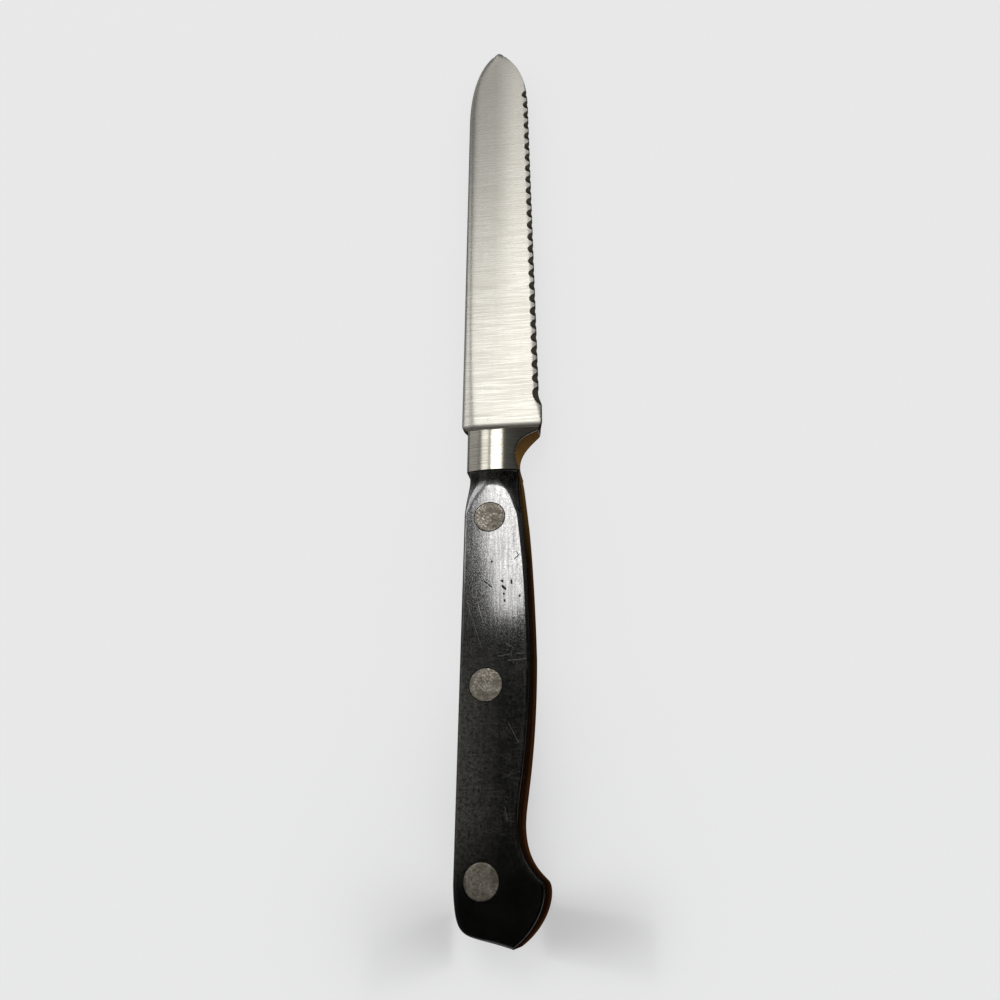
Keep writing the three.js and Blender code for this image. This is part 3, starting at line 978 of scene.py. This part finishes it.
# Marks on the visible flank, across from the spine line and behind the heel, with their width, in mm.
PALE_SCRATCHES = {
    "long one beside the back": ((3.3, -47.0), (6.85, -57.8), 0.14),
    "slanting above the middle rivet": ((12.0, -56.7), (13.8, -58.0), 0.18),
    "upper of three at the belly": ((14.6, -59.2), (16.4, -59.3), 0.18),
    "middle of three at the belly": ((10.4, -59.8), (13.4, -59.3), 0.17),
    "lower of three at the belly": ((12.7, -60.8), (16.6, -60.5), 0.2),
    "below the middle rivet": ((12.75, -73.9), (15.0, -78.2), 0.12),
    "towards the waist": ((12.1, -90.9), (12.7, -93.7), 0.1),
}
DARK_MARKS = {
    "crack from the back to the front rivet": ((2.5, -26.4), (4.75, -26.6), 0.16),
    "slanting cut": ((7.2, -42.6), (8.95, -44.0), 0.26),
    "faint cut beside the back": ((6.0, -47.8), (7.1, -52.0), 0.12),
    "pit above the chips": ((11.3, -42.65), (11.4, -42.8), 0.42),
    "largest chip": ((11.45, -43.9), (12.05, -44.6), 0.45),
    "chip below it": ((11.7, -45.6), (11.8, -45.9), 0.32),
    "lowest chip": ((11.85, -47.1), (12.0, -47.5), 0.32),
    "pit beside the chips": ((13.45, -42.6), (13.5, -43.4), 0.32),
    "pit towards the front rivet": ((8.85, -37.8), (8.95, -38.0), 0.36),
    "pit by the belly": ((15.3, -46.2), (15.35, -46.5), 0.3),
    "nick at the belly's edge": ((14.2, -37.6), (15.3, -36.5), 0.17),
    "small nick above it": ((14.6, -35.9), (15.0, -36.5), 0.15),
}


# Fine scratches all over the flanks: their angle to the knife's length, their width and length in mm.
SCRATCH_SETS = {
    "from wiping along": (4, 0.16, 6.0),
    "slanting to the belly": (28, 0.15, 3.2),
    "slanting to the back": (-33, 0.15, 2.6),
    "steep ones": (66, 0.15, 2.8),
    "across": (97, 0.16, 3.4),
}


def fine_scratches(tree):
    """Short thin lines at several angles, from noise drawn out along each of them."""
    place = object_place(tree)
    masks = []
    for angle, wide, long in SCRATCH_SETS.values():
        turned_place = add(tree, "ShaderNodeMapping", {
            "Vector": place,
            "Location": (0.1 + len(masks), 0, 0),
            "Rotation": (0, 0, math.radians(angle)),
            "Scale": (wide * MM, long * MM, long * MM),
        }, vector_type="TEXTURE")
        drawn_out = noise(tree, turned_place.outputs[0], 1.0, 1.0, 0.5)
        masks.append(ramp(tree, drawn_out, 0.63, 0.72, 0.0, 1.0))
    return largest(tree, masks)


def joined_marks(tree, group, marks, sizes, ragged):
    """The strongest of several marks at each point, with edges that wander by a distance in mm."""
    spot = object_place(tree)
    jitter = add(tree, "ShaderNodeTexNoise", {"Vector": spot, "Scale": 1 / (0.4 * MM), "Detail": 2.0})
    centred = vector(tree, "SUBTRACT", jitter.outputs["Color"], (0.5, 0.5, 0.5))
    place = vector(tree, "ADD", spot, vector(tree, "SCALE", centred, ragged * MM))
    flank = sizes.grip.thickness / 2
    masks = []
    for start, end, width in marks.values():
        node = add(tree, "ShaderNodeGroup", node_tree=group)
        tree.links.new(place, node.inputs["Point"])
        for label, (x, y) in (("Start", start), ("End", end)):
            node.inputs[label].default_value = to_row((x * MM, y * MM, flank), sizes)
        node.inputs["Width"].default_value = width * MM
        masks.append(node.outputs[0])
    return largest(tree, masks)


def grip_finish(colours, sizes):
    """Black acetal, moulded and buffed, then dulled by years of washing: a low grainy sheen."""
    material, tree = new_material("acetal_moulded_worn")
    place = object_place(tree)
    # The worn grain is about 0.1 mm in the real one; it is drawn at 0.25 mm so that it shows.
    grain = noise(tree, place, 0.25 * MM, 2.0, 0.6)
    clouds = noise(tree, place, 6 * MM, 3.0, 0.55)
    mottle = noise(tree, place, 0.7 * MM, 3.0, 0.75)
    rubbed = stretched(tree, 0.35 * MM, 7 * MM, 5.3)
    mark = mark_group()
    scratches = joined_marks(tree, mark, PALE_SCRATCHES, sizes, 0.15)
    pits = joined_marks(tree, mark, DARK_MARKS, sizes, 0.35)
    axes = axes_of(tree, place)
    fine = product(tree, [
        fine_scratches(tree),
        ramp(tree, clouds, 0.35, 0.6, 0.2, 0.6),
        ramp(tree, axes["Y"], -113 * MM, -95 * MM, 0.0, 1.0),
    ])
    worn = largest(tree, [scratches, fine])
    facing = axes_of(tree, add(tree, "ShaderNodeTexCoord").outputs["Normal"])
    level = add(tree, "ShaderNodeMath", {0: facing["Z"]}, operation="ABSOLUTE").outputs[0]
    # The flanks are rubbed grey towards the butt, most along the back; the butt itself stays black.
    dulled = product(tree, [
        ramp(tree, axes["X"], -9 * MM, 1 * MM, 1.0, 0.06),
        ramp(tree, axes["Y"], -113 * MM, -100 * MM, 0.0, 1.0),
        ramp(tree, axes["Y"], -75 * MM, -62 * MM, 1.0, 0.3),
        ramp(tree, level, 0.8, 0.97, 0.0, 1.0),
        ramp(tree, mottle, 0.35, 0.65, 0.1, 1.9),
        ramp(tree, rubbed, 0.3, 0.7, 0.7, 1.3),
    ])
    mixed = blend(tree, ramp(tree, clouds, 0.4, 0.7, 0.0, 0.7), colours.polymer, colours.polymer_grey)
    mixed = blend(tree, dulled, mixed, colours.polymer_dull)
    scraped = product(tree, [worn, ramp(tree, level, 0.8, 0.97, 0.0, 0.6)])
    mixed = blend(tree, scraped, mixed, colours.scratch)
    mixed = blend(tree, pits, mixed, colours.pit)
    dull = largest(tree, [ramp(tree, grain, 0.35, 0.65, 0.06, 0.11), pits])
    # Pores and rubbed streaks take some of the sheen away.
    gloss = product(tree, [
        ramp(tree, grain, 0.36, 0.62, 0.65, 1.4),
        ramp(tree, rubbed, 0.3, 0.65, 0.7, 1.25),
        ramp(tree, clouds, 0.3, 0.7, 0.85, 1.1),
    ])
    relief = joined(tree, "ADD", (grain, product(tree, (pits, -3.0))))
    bump = add(tree, "ShaderNodeBump", {"Strength": 0.15, "Distance": 0.013 * MM, "Height": relief})
    shade(tree, {
        "Base Color": mixed,
        "Roughness": dull,
        "IOR": 1.75,
        "Specular IOR Level": gloss,
        "Normal": bump.outputs[0],
    })
    return material


def rivet_finish(colours):
    """Aluminium rivets, filed flush and then etched by dishwater: dull grey-brown with bare flecks."""
    material, tree = new_material("aluminium_filed_etched")
    place = object_place(tree)
    grain = noise(tree, place, 0.5 * MM, 4.0, 0.7)
    clouds = noise(tree, place, 1.7 * MM, 2.0, 0.5)
    flecks = noise(tree, place, 0.45 * MM, 2.0, 0.5)
    # The front rivet is scrubbed barest: flecks grow rarer from it to the butt.
    along = axes_of(tree, place)["Y"]
    shown = product(tree, [
        ramp(tree, flecks, 0.53, 0.62, 0.0, 1.0),
        ramp(tree, clouds, 0.42, 0.6, 0.15, 1.0),
        ramp(tree, along, -110 * MM, -35 * MM, 0.3, 1.0),
    ])
    mixed = blend(tree, ramp(tree, grain, 0.3, 0.55, 0.7, 0.0), colours.rivet, colours.rivet_pit)
    mixed = blend(tree, ramp(tree, clouds, 0.35, 0.6, 0.6, 0.0), mixed, colours.rivet_pit)
    mixed = blend(tree, shown, mixed, colours.rivet_fleck)
    bump = add(tree, "ShaderNodeBump", {"Strength": 0.4, "Distance": 0.05 * MM, "Height": grain})
    shade(tree, {
        "Base Color": mixed,
        "Metallic": 1.0,
        "Roughness": ramp(tree, grain, 0.3, 0.7, 0.62, 0.48),
        "Normal": bump.outputs[0],
    })
    return material


# Pieces

def all_sizes(context):
    return context.scene.knife_sizes


def new_piece(name, mesh, materials):
    for material in materials:
        mesh.materials.append(material)
    return linked(name, mesh)


def settle(piece, slot, *nodes):
    """Ties a finished piece to the frame in place of its solids."""
    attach(piece, BODY)
    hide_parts(*nodes)


def edge_line(sizes):
    """The line of scallop centres along the edge, as a curve."""
    blade = sizes.blade
    run = blade.length - blade.plain_point - blade.plain_heel
    teeth = max(1, round(run / blade.pitch))
    first = blade.plain_heel + 0.5 * run / teeth
    last = blade.length - blade.plain_point - 0.5 * run / teeth
    curve = bpy.data.curves.new("edge_line", "CURVE")
    curve.dimensions = "3D"
    spline = curve.splines.new("POLY")
    steps = 4 * teeth
    spline.points.add(steps)
    for i in range(steps + 1):
        y = lerp(first, last, i / steps)
        spline.points[i].co = (*to_row((blade_sides(blade, y)[1], y, 0), sizes), 1)
    return linked("edge_line", curve), teeth, first


def wheel_axes(blade):
    """The wheel's lowest line, from the edge on the left side up to the right flank, and its way out."""
    thin = blade.edge_thickness / 2
    run = 0.9 * (blade.height - blade.spine_band)
    top = thin + (0.8 * blade.spine_thickness / 2 - thin) * blade.scallop_depth / run
    foot = Vector((-blade.tooth_height, 0, -thin))
    axis = (Vector((-blade.scallop_depth, 0, top)) - foot).normalized()
    return foot, axis, Vector((axis.z, 0, -axis.x))


def runout_cutter(sizes, first):
    """Half a wheel of larger radius, which draws the last scallop out towards the heel."""
    blade = sizes.blade
    foot, axis, out = wheel_axes(blade)
    origin = Vector((blade_sides(blade, first)[1], first, 0)) + foot
    reach = 0.95 * blade.plain_heel
    steps = 24
    profile = []
    for i in range(steps + 1):
        w = -reach * i / steps
        profile.append((w, blade.runout_radius - math.sqrt(blade.runout_radius ** 2 - w * w)))
    profile += [(-reach, 4 * MM), (0.0, 4 * MM)]
    rings = []
    for travel in (-3 * MM, 5 * MM):
        ring = [origin + axis * travel + out * h + Vector((0, w, 0)) for w, h in profile]
        rings.append(ring)
    return linked("runout_cutter", loft("runout_cutter", rings, sizes))


def discard(*helpers):
    for helper in helpers:
        data = helper.data
        kind = bpy.data.curves if helper.type == "CURVE" else bpy.data.meshes
        bpy.data.objects.remove(helper)
        kind.remove(data)


def forging_mesh(sizes):
    """The blade, the bolster and the tang as one closed skin."""
    blade = sizes.blade
    length = sizes.bolster.length
    start = blade.length - blade.point_length
    end = tip_circle(blade).y + blade.tip_radius - 1e-6
    steps = 48
    stations = [start + (end - start) * math.sin(math.pi / 2 * (1 - i / steps)) for i in range(steps)]
    stations += spaced(start, 1.1 * blade.plain_heel, 44)
    stations += spaced(1.1 * blade.plain_heel, 0.7 * blade.plain_heel, 14)
    stations += spaced(0.7 * blade.plain_heel, 1.2 * MM, 10)
    stations += spaced(1.2 * MM, -4 * MM, 52)
    stations += spaced(-4 * MM, -length, 36)
    stations.append(-length)
    outline = outline_lines(*bolster_chains(sizes))
    rings = [forging_ring(sizes, y, outline) for y in stations]
    zones = [0 if y > -0.4 * MM else 1 for y in stations]
    for station in grip_stations(sizes.grip, 0.0):
        rings.append(tang_ring(sizes, station))
        zones.append(2)
    return loft("forging", rings, sizes, zones)


class KNIFE_OT_forging(bpy.types.Operator):
    """Makes the blade with its scallops, the bolster and the drilled tang"""

    bl_idname = "knife.forging"
    bl_label = "Forged blade"

    def execute(self, context):
        sizes = all_sizes(context)
        finishes = steel_finishes(context.scene.knife_colours)
        body = [finishes[zone] for zone in ("blade", "bolster", "tang")]
        piece = new_piece("forged_blade", forging_mesh(sizes), body)
        line, teeth, first = edge_line(sizes)
        cutter = runout_cutter(sizes, first)
        foot, axis, out = wheel_axes(sizes.blade)
        width = 6 * sizes.blade.scallop_depth
        run_tree(piece, scallop_tree(), {
            "Edge Line": line,
            "Run-out Cutter": cutter,
            "Teeth": teeth,
            "Wheel Radius": sizes.blade.scallop_radius,
            "Wheel Width": width,
            "Wheel Tilt": (0, math.atan2(axis.x, axis.z), 0),
            "Wheel Centre": foot + axis * width / 4 + out * sizes.blade.scallop_radius,
            "Ground Finish": finishes["scallop"],
        })
        discard(line, cutter)
        shank = sizes.rivet.tube + 2 * sizes.rivet.gap
        run_tree(piece, drill_tree(), {
            **rivet_places(sizes),
            "Shank Diameter": shank,
            "Shank Depth": 2 * sizes.grip.tang,
            "Head Diameter": 0.5 * shank,
            "Head Depth": sizes.grip.tang + 2 * MM,
            "Head Centre": (0, 0, 0),
            "Hole Finish": finishes["tang"],
        })
        settle(piece, "steel", "blade_bolster_tang")
        return {"FINISHED"}


class KNIFE_OT_scales(bpy.types.Operator):
    """Makes the two grip scales with their counterbored rivet holes"""

    bl_idname = "knife.scales"
    bl_label = "Grip scales"

    def execute(self, context):
        sizes = all_sizes(context)
        grip = sizes.grip
        rivet = sizes.rivet
        finish = grip_finish(context.scene.knife_colours, sizes)
        outline = outline_lines(back_chain(grip), belly_chain(grip))
        stations = grip_stations(grip, grip.joint_gap)
        right = [scale_ring(sizes, station, outline) for station in stations]
        left = [[(x, y, -z) for x, y, z in ring] for ring in right]
        drill = drill_tree()
        depth = 4 * MM
        seat = grip.thickness / 2 - rivet.head_thickness - rivet.gap
        for name, rings, side in (("right", right, 1), ("left", left, -1)):
            piece = new_piece(f"grip_scale_{name}", loft(f"grip_scale_{name}", rings, sizes), [finish])
            run_tree(piece, drill, {
                **rivet_places(sizes),
                "Shank Diameter": rivet.tube + 2 * rivet.gap,
                "Shank Depth": 2 * grip.thickness,
                "Head Diameter": rivet.head + 2 * rivet.gap,
                "Head Depth": depth,
                "Head Centre": (0, 0, side * (seat + depth / 2)),
                "Hole Finish": finish,
            })
            settle(piece, "grip", f"scale_{name}")
        return {"FINISHED"}


def turned(name, profile):
    """A closed solid turned about Z from a profile of radius and height that starts and ends on the axis."""
    work = bmesh.new()
    points = [work.verts.new((r, 0, z)) for r, z in profile]
    edges = [work.edges.new(pair) for pair in zip(points, points[1:])]
    bmesh.ops.spin(
        work, geom=points + edges, cent=(0, 0, 0), axis=(0, 0, 1), angle=2 * math.pi, steps=64,
        use_merge=True,
    )
    bmesh.ops.remove_doubles(work, verts=work.verts, dist=MERGE_DISTANCE)
    bmesh.ops.recalc_face_normals(work, faces=work.faces)
    mesh = bpy.data.meshes.new(name)
    work.to_mesh(mesh)
    work.free()
    mesh.shade_smooth()
    mesh.set_sharp_from_angle(angle=SHARP_ANGLE)
    return linked(name, mesh)


def head_profile(rivet, top, side):
    """From the middle of the head's face round its softened rim to its underside."""
    rim = 0.16 * MM
    radius = rivet.head / 2
    face = top - rivet.sunk
    profile = [(0, face), (0.4 * radius, face), (0.8 * radius, face - 0.005 * MM)]
    for angle in (90, 68, 45, 22, 0):
        a = math.radians(angle)
        profile.append((radius - rim + rim * math.cos(a), face - rim + rim * math.sin(a)))
    profile.append((radius, top - rivet.head_thickness))
    return [(r, side * z) for r, z in profile]


class KNIFE_OT_rivets(bpy.types.Operator):
    """Makes the three rivets, each of a tube and a pin"""

    bl_idname = "knife.rivets"
    bl_label = "Rivets"

    def execute(self, context):
        sizes = all_sizes(context)
        rivet = sizes.rivet
        finish = rivet_finish(context.scene.knife_colours)
        top = sizes.grip.thickness / 2
        seat = top - rivet.head_thickness
        bore = rivet.pin / 2 + rivet.gap
        end = 0.3 * MM - seat
        tube = head_profile(rivet, top, 1)
        tube += [(rivet.tube / 2, seat), (rivet.tube / 2, end), (bore, end), (bore, seat), (0, seat)]
        pin = head_profile(rivet, top, -1)
        pin += [(rivet.pin / 2, -seat), (rivet.pin / 2, -end), (0, -end)]
        tree = rivet_tree()
        for name, profile in (("tube", tube), ("pin", pin)):
            half = turned(f"turned_{name}", profile)
            piece = new_piece(f"rivet_{name}s", bpy.data.meshes.new(f"rivet_{name}s"), [])
            run_tree(piece, tree, {
                "Rivet Half": half,
                **rivet_places(sizes),
                "Seed": rivet.turn_seed,
                "Rivet Finish": finish,
            })
            discard(half)
            settle(piece, "rivet", *[f"rivet_{place}_{name}" for place in RIVET_NAMES])
        return {"FINISHED"}


# Stage

CAMERA_PLACE = Vector((33.105, -111.968, 200.743)) * MM
CAMERA_AIM = Vector((-1.513, -23.839, 0.0)) * MM
CAMERA_ROLL = math.radians(-23.145)
CAMERA_VIEW = math.radians(58.65)

SOFTBOX_WAY = Vector((-0.056, 0.434, 0.899))
SOFTBOX_DISTANCE = 3.0
SOFTBOX_WIDTH = 0.8
SOFTBOX_HEIGHT = 1.02
SOFTBOX_POWER = 12.0
SOFTBOX_COLOUR = (1.0, 0.99, 0.975)


def look(place, aim, roll=0.0):
    """A turn that looks from place to aim, with the picture's right side rolled by an angle."""
    ahead = (aim - place).normalized()
    level = ahead.cross(Vector((0, 0, 1))).normalized()
    upright = level.cross(ahead)
    right = level * math.cos(roll) + upright * math.sin(roll)
    up = upright * math.cos(roll) - level * math.sin(roll)
    turn = Matrix((right, up, -ahead)).transposed().to_4x4()
    return Matrix.Translation(place) @ turn


def set_camera(scene):
    data = bpy.data.cameras.new("photo_camera")
    data.sensor_fit = "HORIZONTAL"
    data.angle = CAMERA_VIEW
    data.clip_start = 0.005
    data.clip_end = 50
    camera = linked("photo_camera", data)
    camera.matrix_world = look(CAMERA_PLACE, CAMERA_AIM, CAMERA_ROLL)
    scene.camera = camera


def add_softbox():
    """The one strong light: a soft window over the blade's tip."""
    data = bpy.data.lights.new("softbox", "AREA")
    data.shape = "RECTANGLE"
    data.size = SOFTBOX_WIDTH
    data.size_y = SOFTBOX_HEIGHT
    data.energy = SOFTBOX_POWER
    data.color = SOFTBOX_COLOUR
    lamp = linked("softbox", data)
    lamp.matrix_world = look(SOFTBOX_WAY.normalized() * SOFTBOX_DISTANCE, Vector((0, 0, 0)))
    lamp.visible_camera = False


ROOM_LIGHT = 0.85
ROOM_PALE = 0.8
# The walls near the horizon, which the blade mirrors in low side views: dim on the right and beyond
# the tip.
ROOM_WALLS = 0.4
# The room that metal and polymer mirror: its brightness from left to right, and a share of that from
# behind the butt over the top and down to the horizon beyond the tip.
ROOM_ACROSS = (
    (-1.0, 0.05), (-0.72, 0.08), (-0.67, 0.8), (-0.48, 0.8), (-0.455, 0.35), (-0.41, 0.35),
    (-0.385, 2.8), (-0.255, 2.8), (-0.235, 0.5), (-0.182, 0.5), (-0.165, 0.85), (-0.15, 0.2),
    (-0.135, 0.25), (-0.1, 0.85), (-0.05, 0.95), (0.0, 0.8), (0.06, 0.2), (0.2, 0.2), (0.42, 0.12),
    (1.0, 0.08),
)
ROOM_ALONG = (
    (-1.0, 0.02), (-0.35, 0.01), (-0.02, 0.01), (0.08, 0.04), (0.25, 0.05), (0.30, 0.16),
    (0.36, 0.8), (0.5, 1.0), (0.6, 1.05), (0.68, 0.45), (0.74, 0.22), (0.78, 0.08), (0.83, 0.03),
    (1.0, 0.02),
)


def room_bands(tree, way, stops):
    """Brightness by the direction along one axis."""
    bands = add(tree, "ShaderNodeValToRGB", {0: ramp(tree, way, -1.0, 1.0, 0.0, 1.0)})
    marks = bands.color_ramp.elements
    while len(marks) < len(stops):
        marks.new(0.5)
    for mark, (place, bright) in zip(marks, stops):
        mark.position = (place + 1) / 2
        mark.color = (bright, bright, bright, 1)
    return bands.outputs[0]


def set_world(scene):
    """Even light for the floor and the shadows, and a dim room for the mirror images."""
    world = bpy.data.worlds.new("studio")
    world.use_nodes = True
    tree = world.node_tree
    tree.nodes.clear()
    way = add(tree, "ShaderNodeTexCoord").outputs["Generated"]
    axes = axes_of(tree, way)
    across = room_bands(tree, axes["X"], ROOM_ACROSS)
    along = room_bands(tree, axes["Y"], ROOM_ALONG)
    low = ramp(tree, axes["Z"], 0.36, 0.27, 0.0, ROOM_WALLS)
    near = ramp(tree, axes["Y"], 0.35, 0.6, 1.0, 0.1)
    right = product(tree, (
        ramp(tree, axes["X"], -0.1, 0.2, 0.0, 0.85), ramp(tree, axes["Y"], -0.3, 0.1, 0.0, 1.0),
    ))
    walls = product(tree, (low, near, ramp(tree, right, 0.0, 1.0, 1.0, 0.0)))
    room = largest(tree, (product(tree, (across, along)), walls))
    path = add(tree, "ShaderNodeLightPath").outputs
    seen = blend(tree, path["Is Diffuse Ray"], room, (ROOM_LIGHT, ROOM_LIGHT, ROOM_LIGHT))
    seen = blend(tree, path["Is Camera Ray"], seen, (ROOM_PALE, ROOM_PALE, ROOM_PALE))
    sky = add(tree, "ShaderNodeBackground", {"Color": seen, "Strength": 1.0})
    add(tree, "ShaderNodeOutputWorld", {"Surface": sky.outputs[0]})
    scene.world = world


def staged(name, points, faces):
    """A piece of the stage."""
    mesh = bpy.data.meshes.new(name)
    mesh.from_pydata(points, [], faces)
    piece = linked(name, mesh)
    return piece


def sheet(name, low, high, height, far_height=None):
    """A sheet between two corners, level or rising from left to right."""
    right = height if far_height is None else far_height
    corners = [
        (low[0], low[1], height),
        (high[0], low[1], right),
        (high[0], high[1], right),
        (low[0], high[1], height),
    ]
    return staged(name, corners, [(0, 1, 2, 3)])


def belly_strip(name, sizes, width, height):
    """A narrow level sheet that follows the grip's belly."""
    grip = sizes.grip
    steps = 120
    points = []
    for i in range(steps + 1):
        station = lerp(0.0, grip.length - 0.2 * MM, i / steps)
        u = across_at(belly_chain(grip), station)
        for reach in (-0.5 * width, width):
            x, y, _ = to_row(from_grip(u + reach, -sizes.bolster.length - station, 0, sizes), sizes)
            points.append((x, y, height))
    return staged(name, points, [(2 * i, 2 * i + 2, 2 * i + 3, 2 * i + 1) for i in range(steps)])


FLOOR_REACH = 8
# Where the floor's glow changes, and its strength by the grip and along the blade
GLOW_FROM = -95 * MM
GLOW_TO = -65 * MM
GLOW_GRIP = 0.475
GLOW_BLADE = 0.681

CARD_HEIGHT = 0.1 * MM
STRIP_HEIGHT = 0.2 * MM
STRIP_WIDTH = 0.9 * MM
# Each card's corners, its colours by the blade and by the butt, and its share of brightness by the butt.
# The strip has no corners: it follows the belly.
CARDS = (
    ("brown_card", (-0.008, -0.6), (1.5, -0.0085), "card", "card_red", 0.1),
    ("brown_strip", None, None, "card", "card_red", 0.32),
    ("black_card_back", (-0.07, -0.2), (-0.0085, 0.14), "pit", "pit", 1.0),
    ("dark_card", (-0.008, -0.008), (1.5, 1.0), "card_dark", "card_dark", 1.0),
)
# Each flag's corners, and its height on the left and on the right
FLAGS = (
    ("flag_right", (0.0085, -0.1245), (0.030, -0.1145), 0.002, 0.008),
    ("flag_left", (-0.030, -0.1255), (-0.0112, -0.1155), 0.014, 0.003),
)


def hide(piece, *kinds):
    """Takes a piece out of these kinds of light path."""
    for kind in kinds:
        setattr(piece, f"visible_{kind}", False)


def lay_floor(colours):
    """Pale paper that glows, as on a light table, most along the blade, so the shadows are palest there."""
    floor = sheet("floor", (-FLOOR_REACH, -FLOOR_REACH), (FLOOR_REACH, FLOOR_REACH), 0.0)
    material, tree = new_material("floor_pale_paper")
    glow = ramp(tree, axes_of(tree, object_place(tree))["Y"], GLOW_FROM, GLOW_TO, 0.0, 1.0)
    shade(tree, {
        "Base Color": blend(tree, glow, colours.floor, colours.floor_far),
        "Roughness": 0.9,
        "Specular IOR Level": 0.1,
        "Emission Color": (1, 1, 1, 1),
        "Emission Strength": ramp(tree, glow, 0.0, 1.0, GLOW_GRIP, GLOW_BLADE),
    })
    floor.data.materials.append(material)


def lay_cards(colours, sizes):
    """Cards beside the knife, seen only in its mirror images.

    A brown strip follows the belly, with a darker sheet beyond it. Dark ones lie along the back and the
    blade.
    """
    for name, low, high, blade_tint, butt_tint, butt_share in CARDS:
        if low is None:
            card = belly_strip(name, sizes, STRIP_WIDTH, STRIP_HEIGHT)
        else:
            card = sheet(name, low, high, CARD_HEIGHT)
        hide(card, "camera", "diffuse", "shadow", "transmission")
        material, tree = new_material(name)
        axes = axes_of(tree, object_place(tree))
        place = ramp(tree, axes["Y"], -80 * MM, -30 * MM, 0.0, 1.0)
        tint = blend(tree, place, getattr(colours, butt_tint), getattr(colours, blade_tint))
        strength = product(tree, [
            ramp(tree, axes["Y"], -40 * MM, -18 * MM, butt_share, 1.0),
            ramp(tree, axes["X"], 6 * MM, 12 * MM, 1.0, 0.6),
        ])
        shine = add(tree, "ShaderNodeEmission", {"Color": tint, "Strength": strength})
        add(tree, "ShaderNodeOutputMaterial", {"Surface": shine.outputs[0]})
        card.data.materials.append(material)


def hang_flags(colours):
    """Flags on both sides of the butt, seen by no camera and no mirror image, that pool the shadow there."""
    material, tree = new_material("flag_black_felt")
    shade(tree, {"Base Color": (*colours.pit, 1), "Roughness": 1.0, "Specular IOR Level": 0.0})
    for name, low, high, left, right in FLAGS:
        flag = sheet(name, low, high, left, right)
        hide(flag, "camera", "glossy", "transmission")
        flag.data.materials.append(material)


class KNIFE_OT_stage(bpy.types.Operator):
    """Sets the camera, the lights, the pale floor and the card that the belly mirrors"""

    bl_idname = "knife.stage"
    bl_label = "Stage"

    def execute(self, context):
        scene = context.scene
        scene.view_settings.view_transform = "Standard"
        set_camera(scene)
        add_softbox()
        set_world(scene)
        lay_floor(scene.knife_colours)
        lay_cards(scene.knife_colours, scene.knife_sizes)
        hang_flags(scene.knife_colours)
        return {"FINISHED"}


class KnifeSizes(bpy.types.PropertyGroup):
    """All sizes of the knife."""

    blade: PointerProperty(type=BladeSizes, name="Blade", description="Sizes of the blade")
    bolster: PointerProperty(type=BolsterSizes, name="Bolster", description="Sizes of the bolster")
    grip: PointerProperty(type=GripSizes, name="Grip", description="Sizes of the grip")
    rivet: PointerProperty(type=RivetSizes, name="Rivets", description="Sizes of the rivets")


class KNIFE_PT_panel(bpy.types.Panel):
    """Lists the steps that build the knife"""

    bl_idname = "KNIFE_PT_panel"
    bl_label = "Serrated utility knife"
    bl_space_type = "VIEW_3D"
    bl_region_type = "UI"
    bl_category = "Knife"

    def draw(self, context):
        for operator in OPERATORS:
            self.layout.operator(operator.bl_idname)


OPERATORS = (KNIFE_OT_stage, KNIFE_OT_forging, KNIFE_OT_scales, KNIFE_OT_rivets)
GROUPS = (BladeSizes, BolsterSizes, GripSizes, RivetSizes, KnifeSizes, KnifeColours)
CLASSES = GROUPS + OPERATORS + (KNIFE_PT_panel,)


def register():
    for kind in CLASSES:
        bpy.utils.register_class(kind)
    bpy.types.Scene.knife_sizes = PointerProperty(type=KnifeSizes)
    bpy.types.Scene.knife_colours = PointerProperty(type=KnifeColours)


def unregister():
    del bpy.types.Scene.knife_colours
    del bpy.types.Scene.knife_sizes
    for kind in reversed(CLASSES):
        bpy.utils.unregister_class(kind)


def main():
    register()
    bpy.ops.knife.stage()
    bpy.ops.knife.forging()
    bpy.ops.knife.scales()
    bpy.ops.knife.rivets()
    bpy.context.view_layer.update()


if __name__ == "__main__":
    main()
